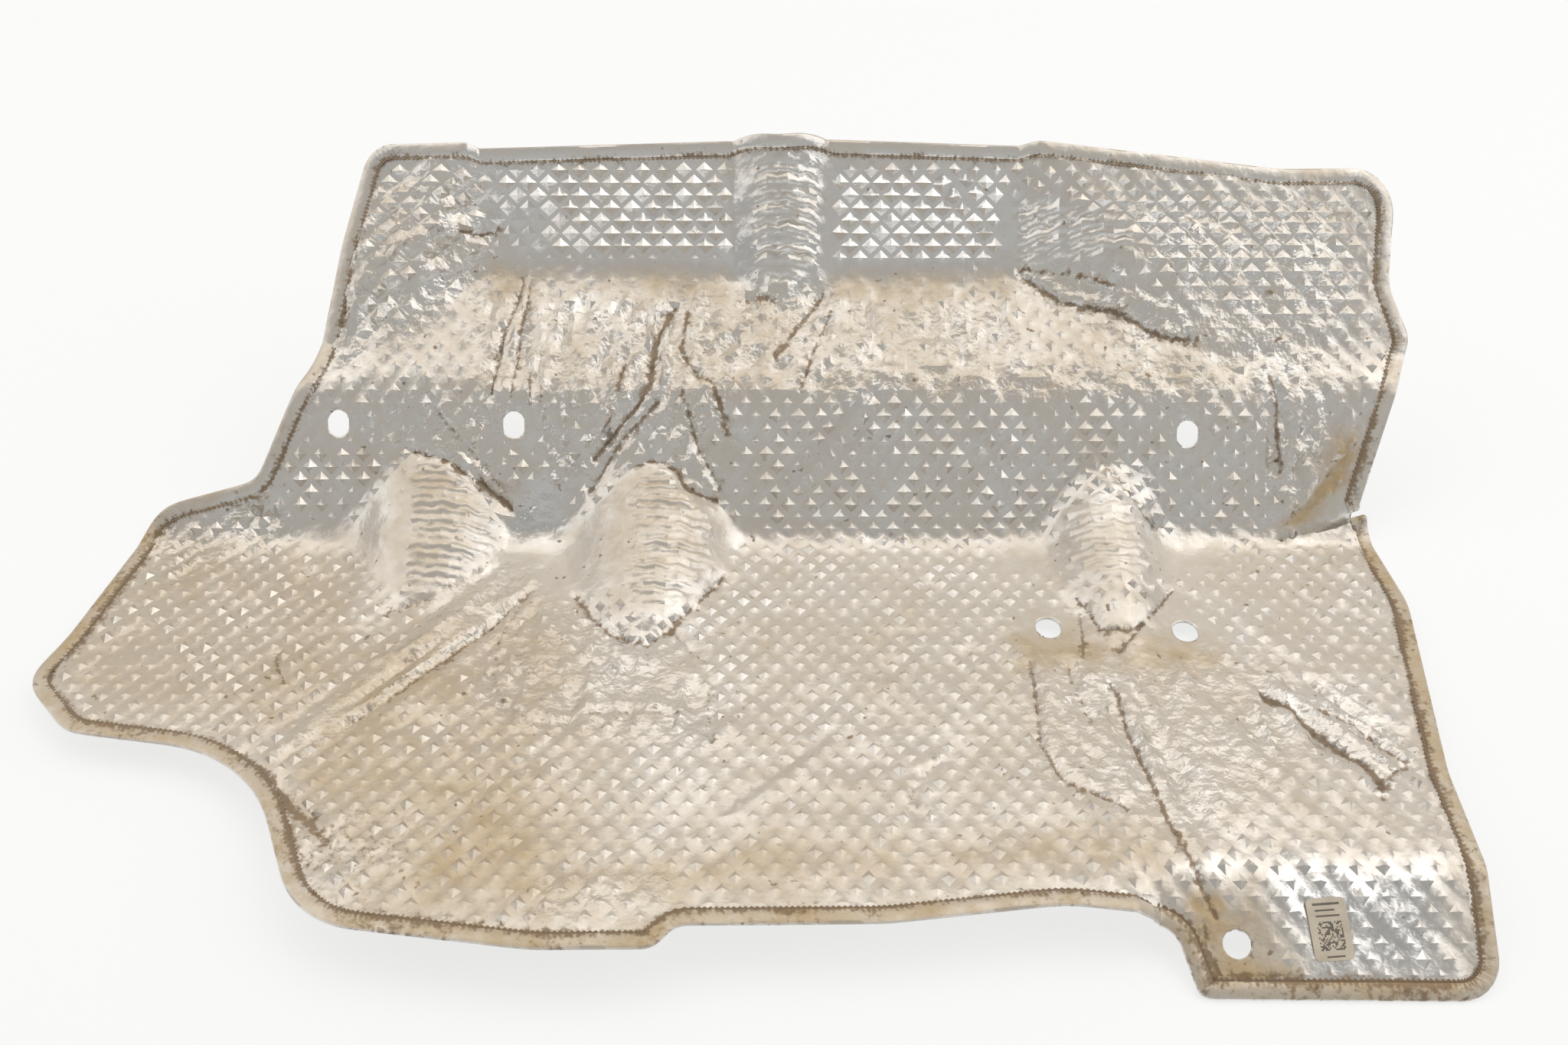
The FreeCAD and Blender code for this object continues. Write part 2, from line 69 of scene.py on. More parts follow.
camera_data = bpy.data.cameras.new("camera")
camera_data.sensor_width = 36.0
camera_data.lens = camera_data.sensor_width * FOCAL_PIXELS / PHOTO_WIDTH
camera = bpy.data.objects.new("camera", camera_data)
camera.location = CAMERA_PLACE
camera.rotation_euler = (math.pi / 2 - CAMERA_PITCH, 0, 0)
bpy.context.scene.collection.objects.link(camera)
bpy.context.scene.camera = camera

# The sheet: one blank of thin aluminium, embossed all over with small pyramids, then pressed into steps,
# gussets and a flute, and punched. It is made here in the same order: a flat grid that follows the
# pyramids' rows is trimmed and punched, laid on the CAD solid's underside, and embossed and creased.
GAUGE = 0.95
PYRAMID_ACROSS = 10.7
PYRAMID_RUN = 12.8
PYRAMID_HEIGHT = 1.75
PYRAMID_FOOT = (3.2, 4.0)
COLUMN = PYRAMID_ACROSS / 4
ROW = PYRAMID_RUN / 4
ACROSS = Vector((1, 0, 0))
PRESS_LEAN = math.radians(13.94)
PRESS = Vector((0, -math.sin(PRESS_LEAN), math.cos(PRESS_LEAN)))
UP_BLANK = Vector((0, math.cos(PRESS_LEAN), math.sin(PRESS_LEAN)))
PRESS_REACH = 1.0
WELD = 0.002 * MM

solid = bmesh.new()
solid.from_mesh(frame["nodes"]["heat_shield"].data)
bmesh.ops.remove_doubles(solid, verts=solid.verts, dist=WELD)
solid.normal_update()
solid_tree = BVHTree.FromBMesh(solid)


def underside(across, lift):
    """The place in mm and the outward normal where a line in the pressing direction meets the solid."""
    start = (ACROSS * across + UP_BLANK * lift) * MM - PRESS * PRESS_REACH
    place, normal, face, distance = solid_tree.ray_cast(start, PRESS)
    if place is None:
        return None
    return place / MM, normal


# Run is the length along the bent section. It is measured down a column that has no gusset, facet or flute.
PLAIN_COLUMN = 74.0
SECTION_STEP = 0.5
SECTION_REACH = 300
SECTION_MARGIN = 60.0
section = []
for lift in np.arange(-SECTION_REACH, SECTION_REACH, SECTION_STEP):
    met = underside(PLAIN_COLUMN, lift)
    if met:
        section.append((lift, met[0].dot(PRESS)))
section = np.array(section)
section_lift = section[:, 0]
section_run = np.concatenate([[0], np.cumsum(np.linalg.norm(np.diff(section, axis=0), axis=1))])
for end, neighbour, outward in ((0, 1, -SECTION_MARGIN), (-1, -2, SECTION_MARGIN)):
    slope = (section_run[end] - section_run[neighbour]) / (section_lift[end] - section_lift[neighbour])
    at = len(section_run) if outward > 0 else 0
    section_run = np.insert(section_run, at, section_run[end] + slope * outward)
    section_lift = np.insert(section_lift, at, section_lift[end] + outward)


def run_of(lift):
    """The run at a height up the blank's plane."""
    return np.interp(lift, section_lift, section_run)


def lift_of(run):
    """The height up the blank's plane at a run."""
    return np.interp(run, section_run, section_lift)


def on_blank(place):
    """Where a place in mm on the pressed sheet lies on the flat blank: across and run."""
    return place.x, float(run_of(place.dot(UP_BLANK)))


def seen_at(pixel):
    """Where a pixel of the photograph lies on the flat blank."""
    aside = (pixel[0] - PHOTO_WIDTH / 2) / FOCAL_PIXELS
    below = (pixel[1] - PHOTO_HEIGHT / 2) / FOCAL_PIXELS
    towards = Vector((aside, -below, -1))
    towards.rotate(camera.rotation_euler)
    place, normal, face, distance = solid_tree.ray_cast(CAMERA_PLACE, towards.normalized())
    if place is None:
        raise ValueError(f"pixel {pixel} is off the sheet")
    return on_blank(place / MM)


# The blank's edge is the longest chain of edges between the solid's underside and its trimmed sides.
STEEP = 0.1
FACING_DOWN = -0.12
trimmed = {face for face in solid.faces if abs(face.normal.dot(PRESS)) < STEEP}
beside = {}
for edge in solid.edges:
    sides = [face for face in edge.link_faces if face in trimmed]
    under = [face for face in edge.link_faces if face.normal.dot(PRESS) < FACING_DOWN]
    if len(sides) == 1 and len(under) == 1:
        for vert in edge.verts:
            beside.setdefault(vert, []).append(edge.other_vert(vert))
chains = []
unvisited = set(beside)
for first in sorted(beside, key=lambda vert: vert.index):
    if first not in unvisited:
        continue
    unvisited.discard(first)
    chain = [first]
    onward = True
    while onward:
        onward = [vert for vert in beside[chain[-1]] if vert in unvisited]
        if onward:
            unvisited.discard(onward[0])
            chain.append(onward[0])
    chains.append(chain)
corners = np.array([on_blank(vert.co / MM) for vert in max(chains, key=len)])

# It is divided evenly, in steps of half a tooth of the hem's crimped line.
EDGE_STEP = 1.15
WING_FROM = -200.0
WING_BLEND = 15.0
WING_PASSES = 24
EDGE_PASSES = 2
TURN_PASSES = 12
ring = np.vstack([corners, corners[:1]])
gone = np.concatenate([[0], np.cumsum(np.linalg.norm(np.diff(ring, axis=0), axis=1))])
edge_count = 2 * round(gone[-1] / EDGE_STEP / 2)
stations = np.linspace(0, gone[-1], edge_count, endpoint=False)
blank_edge = np.stack([np.interp(stations, gone, ring[:, 0]), np.interp(stations, gone, ring[:, 1])], axis=1)


def turned_area(points):
    """Twice the area inside a closed line, positive where it runs anticlockwise."""
    onward = np.roll(points, -1, axis=0)
    return float(np.sum(points[:, 0] * onward[:, 1] - points[:, 1] * onward[:, 0]))


def evened(values, times):
    """Values round the edge, averaged with their neighbours."""
    for pass_number in range(times):
        values = (np.roll(values, 1, axis=0) + 2 * values + np.roll(values, -1, axis=0)) / 4
    return values


if turned_area(blank_edge) < 0:
    blank_edge = blank_edge[::-1]
blank_edge = evened(blank_edge, EDGE_PASSES)
wing_share = np.clip((WING_FROM - blank_edge[:, 0]) / WING_BLEND, 0, 1)[:, None]
blank_edge += wing_share * (evened(blank_edge, WING_PASSES) - blank_edge)
edge_way = np.roll(blank_edge, -1, axis=0) - np.roll(blank_edge, 1, axis=0)
edge_way /= np.linalg.norm(edge_way, axis=1)[:, None]
edge_inward = evened(np.stack([-edge_way[:, 1], edge_way[:, 0]], axis=1), TURN_PASSES)
edge_inward /= np.linalg.norm(edge_inward, axis=1)[:, None]
edge_tree = KDTree(edge_count)
for index, (across, run) in enumerate(blank_edge):
    edge_tree.insert((across, run, 0), index)
edge_tree.balance()


def inside(points, corners):
    """Which points lie inside a closed line."""
    within = np.zeros(len(points), bool)
    for start, end in zip(corners, np.roll(corners, -1, axis=0)):
        if start[1] == end[1]:
            continue
        crosses = (points[:, 1] < start[1]) != (points[:, 1] < end[1])
        meets = start[0] + (points[:, 1] - start[1]) * (end[0] - start[0]) / (end[1] - start[1])
        within ^= crosses & (points[:, 0] < meets)
    return within


def distance_to(points, path):
    """How far points lie from a line through the path's points."""
    nearest = np.full(len(points), np.inf)
    for start, end in zip(path[:-1], path[1:]):
        way = end - start
        share = np.clip((points - start) @ way / (way @ way), 0, 1)
        nearest = np.minimum(nearest, np.linalg.norm(points - start - share[:, None] * way, axis=1))
    return nearest


def zone(points, pixels, soft):
    """1 inside a zone of the sheet given by pixels, and 0 outside, with a soft edge of that width."""
    corners = np.array([seen_at(pixel) for pixel in pixels])
    gap = distance_to(points, np.vstack([corners, corners[:1]]))
    gap[inside(points, corners)] *= -1
    return np.clip(0.5 - gap / soft, 0, 1)


# At the right, a slit without a hem lets the wall's flap lie over the floor.
SLIT = ((1650, 640), (1752, 620), (1772, 700), (1660, 725))
SLIT_SOFT = 1.0
FLAP_UPWARD = 0.3
at_slit = zone(blank_edge, SLIT, SLIT_SOFT) > 0.5
on_flap = at_slit & (edge_inward[:, 1] > FLAP_UPWARD)

# The blank is a grid in mm, with four columns and rows to each pyramid's spacing.
sheet = bmesh.new()
low = blank_edge.min(axis=0) - (2 * COLUMN, 2 * ROW)
high = blank_edge.max(axis=0) + (2 * COLUMN, 2 * ROW)
first_column = math.floor(low[0] / COLUMN)
first_row = math.floor(low[1] / ROW)
columns = math.ceil(high[0] / COLUMN) - first_column
rows = math.ceil(high[1] / ROW) - first_row
bmesh.ops.create_grid(sheet, x_segments=columns, y_segments=rows, size=0.5)
bmesh.ops.translate(sheet, verts=sheet.verts, vec=(0.5, 0.5, 0))
bmesh.ops.scale(sheet, verts=sheet.verts, vec=(columns * COLUMN, rows * ROW, 1))
bmesh.ops.translate(sheet, verts=sheet.verts, vec=(first_column * COLUMN, first_row * ROW, 0))


def blank_points():
    """The flat places of the grid's vertices, across and run."""
    return np.array([vert.co.xy for vert in sheet.verts])


# Its trimmed edge ends under the hem.
EDGE_COVER = 2.0
SLIT_COVER = 0.2
TRIM_AT = 0.6
points = blank_points()
within = inside(points, blank_edge)
for vert in sheet.verts:
    place, index, distance = edge_tree.find(vert.co)
    vert.tag = bool(within[vert.index]) and distance > TRIM_AT
spare = [face for face in sheet.faces if not all(vert.tag for vert in face.verts)]
bmesh.ops.delete(sheet, geom=spare, context="FACES")
sheet.verts.index_update()
for vert in sheet.verts:
    if vert.is_boundary:
        place, index, distance = edge_tree.find(vert.co)
        vert.co.xy = blank_edge[index] + edge_inward[index] * (SLIT_COVER if at_slit[index] else EDGE_COVER)

# The holes are the record's mounts: slots for studs in the wall and the floor, and a round hole in the tab.
HOLE_WIDTH = {"wall": 10.7, "floor": 11.8, "tab": 11.6}
HOLE_LENGTH = {"wall": 13.6, "floor": 14.0, "tab": 11.6}
HOLE_FINE = 4.5
HOLE_PASSES = 2
holes = []
for mount in frame["record"]["mounts"]:
    face_name = next(name for name in HOLE_WIDTH if name in mount["name"].split("_"))
    place = Vector(mount["pos_m"]) / MM
    holes.append(
        {
            "place": place,
            "axis": Vector(mount["axis"]).normalized(),
            "blank": np.array(on_blank(place)),
            "radius": HOLE_WIDTH[face_name] / 2,
            "half": (HOLE_LENGTH[face_name] - HOLE_WIDTH[face_name]) / 2,
        }
    )


def hole_gap(points, hole):
    """How far flat places lie outside a hole's edge."""
    spine = hole["blank"] + np.array([[0, -hole["half"]], [0, hole["half"] + 0.001]])
    return distance_to(points, spine) - hole["radius"]


def grown(distance, start, width):
    """0 up to where it starts, then growing to 1 over a width."""
    return np.clip((distance - start) / width, 0, 1)


def away_from_holes(points, start, width):
    """0 beside the holes and 1 further off, growing over a width."""
    share = np.ones(len(points))
    for hole in holes:
        share *= grown(hole_gap(points, hole), start, width)
    return share


def refine(near, cuts, lengthways_only=False):
    """Divides the grid's edges whose ends are both near."""
    edges = []
    for edge in sheet.edges:
        if near[edge.verts[0].index] and near[edge.verts[1].index]:
            way = edge.verts[0].co - edge.verts[1].co
            if not lengthways_only or abs(way.y) > abs(way.x):
                edges.append(edge)
    bmesh.ops.subdivide_edges(sheet, edges=edges, cuts=cuts, use_grid_fill=True)
    sheet.verts.index_update()


for pass_number in range(HOLE_PASSES):
    points = blank_points()
    near = np.zeros(len(points), bool)
    for hole in holes:
        near |= np.abs(hole_gap(points, hole)) < HOLE_FINE
    refine(near, 1)

# Gussets, flute and the right facet: the press squeezed the pyramids there into ripples across the face.
# Each has its outline in pixels, the ripples' pitch and height in mm.
RIPPLED = {
    "left_gusset": (
        (
            (542, 596), (590, 609), (636, 655), (652, 693), (655, 715), (585, 768), (520, 772),
            (536, 710), (533, 650),
        ),
        5.0, 0.5,
    ),
    "middle_gusset": (
        (
            (833, 614), (868, 611), (900, 648), (932, 690), (922, 745), (890, 795), (822, 802),
            (815, 755), (825, 680),
        ),
        5.0, 0.5,
    ),
    "right_gusset": (
        (
            (1392, 668), (1440, 650), (1482, 668), (1505, 705), (1500, 750), (1450, 752), (1396, 748),
            (1385, 705),
        ),
        5.0, 0.4,
    ),
    "flute": (((985, 205), (1068, 205), (1070, 352), (1040, 375), (1000, 375), (985, 355)), 5.0, 0.8),
    "right_facet": (
        ((1325, 255), (1400, 262), (1480, 295), (1490, 340), (1400, 348), (1326, 345)),
        6.0, 0.8,
    ),
}
RIPPLE_FINE = 4.0
RIPPLE_CLEAR = 8.0
points = blank_points()
near = np.zeros(len(points), bool)
for outline, pitch, height in RIPPLED.values():
    near |= zone(points, outline, RIPPLE_FINE) > 0
refine(near, 2, lengthways_only=True)

# Creases, dents and folds from the press and from use: height in mm (below nothing for a groove), width in
# mm, how much dirt and painted shade they hold (a groove's dark line is partly dirt, partly painted shade),
# and the pixels that they run through.
CREASES = {
    "left_panel_fold": (
        1.6, 2.0, 0.5,
        ((597, 291), (554, 306), (530, 316), (495, 348), (463, 391), (450, 425)),
    ),
    "left_panel_fold_low": (1.4, 2.2, 0.2, ((625, 324), (586, 344), (554, 368), (530, 391))),
    "left_panel_slit": (-1.2, 1.3, 1.0, ((601, 301), (630, 306), (657, 298))),
    "left_panel_lip": (0.7, 1.86, 0.2, ((580, 262), (602, 285), (630, 296))),
    "shelf_crease": (-1.35, 1.5, 0.9, ((684, 368), (673, 403), (657, 439), (649, 474), (641, 514))),
    "shelf_crease_beside": (-1.2, 1.5, 0.9, ((692, 376), (681, 427), (675, 463), (667, 514))),
    "shelf_pleat": (1.05, 2.17, 0.0, ((686, 380), (676, 420), (664, 455), (656, 505))),
    "brow_wrinkle": (
        -1.8, 1.5, 1.1,
        ((878, 403), (862, 435), (853, 463), (850, 498), (835, 526), (807, 559), (776, 600)),
    ),
    "brow_wrinkle_lip": (1.12, 2.79, 0.1, ((892, 412), (876, 440), (868, 470), (866, 500))),
    "brow_wrinkle_right": (
        -1.2, 1.6, 0.9,
        ((898, 407), (890, 455), (906, 486), (930, 498), (941, 530), (949, 565)),
    ),
    "brow_nick": (-0.9, 1.5, 0.9, ((815, 476), (807, 508))),
    "brow_tuck": (-0.9, 1.3, 0.8, ((692, 486), (692, 538))),
    "brow_tuck_beside": (-0.9, 1.3, 0.6, ((704, 498), (710, 559))),
    "wall_fold_left": (-1.12, 1.6, 0.9, ((859, 524), (811, 576), (772, 640))),
    "wall_fold_left_crest": (0.84, 2.17, 0.0, ((868, 530), (822, 580), (783, 640))),
    "wall_fold_right": (-1.12, 1.6, 0.8, ((890, 507), (900, 538), (910, 579), (941, 638))),
    "wall_fold_right_crest": (0.84, 2.48, 0.0, ((902, 510), (914, 545), (926, 585), (948, 625))),
    "wall_fold_far": (-0.75, 1.5, 0.5, ((931, 507), (945, 534), (959, 572))),
    "left_gusset_brow": (-1.65, 1.5, 1.2, ((543, 591), (577, 599), (607, 620), (628, 629), (668, 665))),
    "left_gusset_lip": (1.26, 2.79, 0.1, ((500, 575), (551, 576), (590, 588), (625, 612), (655, 645))),
    "left_wall_fold": (-1.05, 1.4, 0.7, ((568, 533), (620, 593), (660, 640))),
    "left_wall_fold_crest": (0.77, 1.86, 0.0, ((578, 531), (630, 588), (668, 636))),
    "middle_gusset_brow": (
        -1.8, 1.5, 1.3,
        ((831, 612), (845, 605), (869, 606), (886, 617), (897, 634), (914, 645), (938, 653)),
    ),
    "middle_gusset_lip": (
        1.33, 3.1, 0.1,
        ((840, 590), (862, 572), (888, 570), (905, 595), (925, 625), (942, 640)),
    ),
    "right_gusset_brow": (-0.98, 1.4, 0.8, ((1441, 606), (1470, 635), (1499, 677), (1507, 692))),
    "left_gusset_foot": (-1.12, 1.5, 0.6, ((662, 717), (620, 746), (564, 781), (500, 802))),
    "left_ridge": (1.8, 2.1, 0.1, ((658, 746), (607, 793), (543, 845), (491, 866))),
    "left_ridge_low": (
        2.0, 2.2, 0.1,
        ((697, 759), (628, 815), (564, 862), (500, 905), (436, 943), (360, 984)),
    ),
    "left_ridge_shade": (-1.2, 1.8, 0.7, ((690, 775), (628, 828), (564, 874), (500, 918), (436, 954))),
    "wing_nick": (-0.75, 1.25, 0.9, ((359, 858), (364, 876), (372, 894))),
    "waist_crease": (-1.05, 1.5, 0.7, ((318, 985), (341, 1006), (368, 1037), (395, 1070), (429, 1097))),
    "middle_gusset_foot": (
        -1.27, 1.5, 0.9,
        ((752, 782), (783, 817), (807, 834), (845, 842), (876, 824), (914, 786), (945, 755)),
    ),
    "middle_gusset_tail": (-0.83, 1.5, 0.7, ((876, 824), (921, 865))),
    "floor_seam_left": (-0.75, 1.5, 0.5, ((687, 782), (652, 831), (642, 879), (657, 918))),
    "floor_seam_mid": (-0.6, 1.5, 0.4, ((700, 793), (673, 879))),
    "floor_seam_front": (
        -0.83, 1.7, 0.5,
        ((657, 918), (690, 939), (724, 947), (758, 935), (796, 926), (842, 930), (884, 932)),
    ),
    "floor_step": (
        0.91, 2.79, 0.0,
        ((657, 910), (690, 930), (724, 938), (758, 926), (796, 917), (842, 921), (884, 924)),
    ),
    "floor_point": (1.12, 2.48, 0.3, ((884, 930), (909, 956), (930, 974), (960, 951))),
    "floor_point_seam": (-0.98, 1.5, 0.6, ((930, 972), (922, 922), (930, 897))),
    "floor_loop": (0.84, 2.17, 0.2, ((800, 846), (821, 859), (859, 863), (888, 850))),
    "floor_tuck": (-0.75, 1.5, 0.4, ((790, 831), (783, 879))),
    "front_smear": (0.84, 2.79, 0.0, ((1086, 973), (1019, 1023), (956, 1069))),
    "front_smear_shade": (-0.75, 2.25, 0.3, ((1079, 962), (1010, 1014), (947, 1060))),
    "front_hook": (-0.9, 1.5, 0.5, ((1233, 994), (1204, 1010), (1191, 1040), (1200, 1069))),
    "front_hook_crest": (0.91, 2.17, 0.0, ((1225, 988), (1196, 1004), (1182, 1038))),
    "right_gusset_foot": (
        -1.2, 1.3, 0.9,
        ((1405, 781), (1437, 822), (1474, 824), (1495, 814), (1532, 772)),
    ),
    "right_gusset_tail": (-0.98, 1.3, 0.8, ((1495, 814), (1461, 853))),
    "fan_left": (
        -1.12, 1.4, 0.9,
        ((1345, 863), (1354, 913), (1360, 971), (1387, 1017), (1432, 1038), (1474, 1058)),
    ),
    "fan_left_crest": (
        0.84, 2.48, 0.0,
        ((1356, 866), (1366, 913), (1373, 965), (1398, 1005), (1440, 1027)),
    ),
    "fan_middle": (-0.9, 1.4, 0.7, ((1395, 868), (1408, 909), (1428, 946))),
    "fan_right": (
        -1.35, 1.4, 1.0,
        ((1449, 892), (1461, 913), (1474, 955), (1495, 1000), (1519, 1054), (1542, 1102)),
    ),
    "fan_right_crest": (
        0.98, 2.48, 0.0,
        ((1464, 897), (1476, 930), (1488, 960), (1508, 1000), (1532, 1050)),
    ),
    "pad_nick": (-0.75, 1.2, 0.8, ((1412, 805), (1416, 859))),
    "fan_far": (0.91, 2.48, 0.1, ((1540, 884), (1578, 921), (1623, 971), (1665, 1008), (1718, 1071))),
    "flap_fold": (
        -2.25, 1.6, 1.3,
        ((1648, 905), (1685, 926), (1718, 955), (1748, 979), (1785, 1000), (1806, 1025)),
    ),
    "flap_crest": (1.68, 3.1, 0.0, ((1664, 900), (1700, 920), (1735, 946), (1770, 968), (1805, 990))),
    "flap_back": (-0.98, 1.5, 0.9, ((1723, 930), (1768, 946), (1801, 971), (1835, 992))),
    "flap_end": (-1.05, 1.5, 0.9, ((1840, 996), (1806, 1023), (1806, 1045))),
    "right_floor_fold": (0.77, 2.48, 0.1, ((1615, 805), (1681, 847), (1718, 884))),
    "right_facet_foot": (-1.2, 1.5, 1.0, ((1327, 348), (1396, 356), (1454, 370))),
    "right_facet_fold": (
        -1.35, 1.6, 1.0,
        ((1337, 363), (1385, 394), (1448, 402), (1488, 423), (1523, 443), (1563, 445)),
    ),
    "right_facet_crest": (
        1.05, 2.79, 0.0,
        ((1345, 356), (1392, 384), (1450, 391), (1495, 412), (1532, 433)),
    ),
    "flute_foot_left": (-1.2, 1.6, 0.9, ((975, 392), (995, 388), (1012, 396))),
    "flute_foot_right": (-1.2, 1.6, 1.0, ((1075, 384), (1046, 423), (1012, 468))),
    "flute_foot_far": (-1.05, 1.5, 0.8, ((1086, 405), (1063, 457), (1046, 509))),
    "flute_star": (1.4, 3.1, 0.0, ((998, 374), (1014, 380), (1030, 374))),
    "panel_scratch": (-0.45, 1.4, 0.2, ((1230, 222), (1270, 268))),
    "wall_smear": (1.1, 2.4, 0.0, ((1130, 520), (1085, 580), (1040, 640))),
    "wall_smear_right": (1.1, 2.2, 0.0, ((1275, 573), (1316, 660))),
    "right_wall_crease": (-1.2, 1.4, 1.0, ((1657, 491), (1669, 526), (1668, 560), (1673, 615))),
    "right_wall_crest": (0.91, 2.48, 0.0, ((1669, 491), (1681, 526), (1681, 565), (1684, 612))),
    "right_wall_flap": (1.12, 3.1, 0.1, ((1662, 672), (1700, 640), (1740, 590), (1765, 548))),
    "right_wall_flap_low": (-0.9, 2.0, 0.4, ((1672, 690), (1712, 652), (1752, 596))),
    "tab_side_crease": (-1.12, 1.5, 1.0, ((1548, 1104), (1566, 1152), (1588, 1197))),
    "tab_corner_crease": (-0.75, 1.5, 0.9, ((1572, 1205), (1584, 1250), (1592, 1272))),
}
CREASE_FINE = 3.2
# Creases with much dirt and painted shade in their groove are divided finer within this reach.
DIRT_AND_SHADE_FINE = 1.9
DIRT_AND_SHADE_LEAST = 0.8
crease_paths = {}
for name, (height, width, dirt_and_shade, pixels) in CREASES.items():
    crease_paths[name] = np.array([seen_at(pixel) for pixel in pixels])


def near_creases(points, reach, least_dirt_and_shade):
    """Which points lie near a crease that holds so much dirt and painted shade, and not at a hole."""
    near = np.zeros(len(points), bool)
    for name, path in crease_paths.items():
        if CREASES[name][2] >= least_dirt_and_shade:
            near |= distance_to(points, path) < reach
    for hole in holes:
        near &= hole_gap(points, hole) > HOLE_FINE
    return near


points = blank_points()
near = near_creases(points, CREASE_FINE, 0)
for outline, pitch, height in RIPPLED.values():
    near &= zone(points, outline, RIPPLE_CLEAR) == 0
refine(near, 1)
refine(near_creases(blank_points(), DIRT_AND_SHADE_FINE, DIRT_AND_SHADE_LEAST), 1)

# The holes are punched.
for hole in holes:
    middles = np.array([face.calc_center_median().xy for face in sheet.faces])
    gap = hole_gap(middles, hole)
    punched = [face for face, out in zip(sheet.faces, gap) if out < 0]
    bmesh.ops.delete(sheet, geom=punched, context="FACES")
sheet.verts.index_update()


# The pyramids' feet are joined by edges, so that each pyramid has four flat sides.
def pyramid_share(points):
    """The pyramids' height as a share (0 along their feet, less between them), and how far from which one."""
    best = np.full(len(points), -np.inf)
    number = np.zeros((len(points), 2))
    away = np.zeros((len(points), 2))
    for offset in (0.0, 0.5):
        cell = points / (PYRAMID_ACROSS, PYRAMID_RUN) - offset
        nearest = np.round(cell)
        share = 1 - 4 * np.abs(cell - nearest).sum(axis=1)
        better = share > best
        best[better] = share[better]
        number[better] = 2 * nearest[better] + 2 * offset
        away[better] = (cell - nearest)[better] * (PYRAMID_ACROSS, PYRAMID_RUN)
    return best, away, number


ON_FOOT = 0.02
points = blank_points()
share, from_tip, number = pyramid_share(points)
feet = [vert for vert, at in zip(sheet.verts, share) if abs(at) < ON_FOOT]
bmesh.ops.connect_verts(sheet, verts=feet)
sheet.verts.index_update()
sheet.verts.ensure_lookup_table()

# The press lays the blank on the solid's underside and lifts it by the gauge.
# Where the solid has a hole or the slit, the sheet beside it is taken.
BESIDE = ((0, 0), (8, 0), (-8, 0), (14, 0), (-14, 0), (0, 3), (0, -3), (0, 6), (0, -6))
for vert, (across, run) in zip(sheet.verts, points):
    lift = float(lift_of(run))
    for aside, above in BESIDE:
        met = underside(across + aside, lift + above)
        if met:
            break
    vert.co = met[0] - met[1] * GAUGE - UP_BLANK * above
    vert.co.x = across

# Drawn metal has soft edges, apart from the flute's sharp left side.
FLUTE_SIDE = np.array([seen_at(pixel) for pixel in ((958, 205), (958, 362))])
SOFTEN_PASSES = 5
DEEP_PASSES = 10
DEEP_FROM = 14.0
CRISP_WITHIN = 6.0
crisp = distance_to(points, FLUTE_SIDE) < CRISP_WITHIN
soft = [vert for vert in sheet.verts if not vert.is_boundary and not crisp[vert.index]]
deep = [vert for vert in soft if edge_tree.find((*points[vert.index], 0))[2] > DEEP_FROM]
for softened, passes in ((soft, SOFTEN_PASSES), (deep, DEEP_PASSES)):
    for pass_number in range(passes):
        bmesh.ops.smooth_vert(
            sheet, verts=softened, factor=0.5, use_axis_x=True, use_axis_y=True, use_axis_z=True
        )
sheet.normal_update()

# The pyramids' feet are spread to their real size, which is larger where the sheet was hardly drawn.
# Each has its own height, and its tip leans its own way.
BOLD_FOOT = (4.6, 4.2)
BOLD = {
    "panel_left": (((640, 215), (955, 210), (955, 335), (700, 335), (660, 328)), 1.0),
    "panel_right": (((1085, 215), (1315, 225), (1315, 338), (1085, 340)), 1.0),
    "left_corner": (((490, 215), (640, 215), (655, 325), (560, 415), (475, 420)), 1.0),
    "right_panel": (((1400, 245), (1770, 262), (1780, 420), (1640, 430), (1490, 340)), 1.0),
    "wall": (
        (
            (960, 520), (1640, 518), (1640, 685), (1530, 690), (1480, 640), (1390, 640), (1340, 690),
            (960, 690),
        ),
        0.45,
    ),
    "wall_left": (((390, 520), (480, 520), (530, 570), (480, 640), (370, 650)), 0.45),
}
BOLD_SOFT = 12.0
OWN_HEIGHT = (0.82, 1.18)
OWN_LEAN = (-0.25, 0.25)
SPREAD_FREE = (2.0, 5.0)
SEED = 7
random = np.random.default_rng(SEED)
noise.seed_set(SEED)
lattice_low = number.min(axis=0).astype(int)
lattice_size = number.max(axis=0).astype(int) - lattice_low + 1
own = tuple((number.astype(int) - lattice_low).T)
own_height = random.uniform(*OWN_HEIGHT, lattice_size)[own]
own_lean = random.uniform(*OWN_LEAN, (*lattice_size, 2))[own]
bold = np.zeros(len(points))
for pixels, amount in BOLD.values():
    bold = np.maximum(bold, amount * zone(points, pixels, BOLD_SOFT))
foot = np.array(PYRAMID_FOOT) + bold[:, None] * np.subtract(BOLD_FOOT, PYRAMID_FOOT)
spread = from_tip * (foot / (COLUMN, ROW) - 1) * np.clip(1 + share, 0, 1)[:, None]
spread += own_lean * np.clip(share, 0, 1)[:, None]
spread[[vert.is_boundary for vert in sheet.verts]] = 0
spread *= away_from_holes(points, *SPREAD_FREE)[:, None]
points = points + spread
for vert, (across, run) in zip(sheet.verts, spread):
    sideways = (ACROSS - vert.normal * vert.normal.dot(ACROSS)).normalized()
    upwards = sideways.cross(vert.normal)
    upwards *= math.copysign(1, upwards.dot(UP_BLANK))
    vert.co += sideways * float(across) + upwards * float(run)

# The flap's edge reaches down over the floor.
FLAP_REACH = 4.0
FLAP_LIFT = 1.2
for vert in sheet.verts:
    place, index, distance = edge_tree.find((*points[vert.index], 0))
    if vert.is_boundary and distance < FLAP_REACH and on_flap[index]:
        down = (vert.normal * vert.normal.dot(UP_BLANK) - UP_BLANK).normalized()
        vert.co += down * FLAP_REACH + vert.normal * FLAP_LIFT

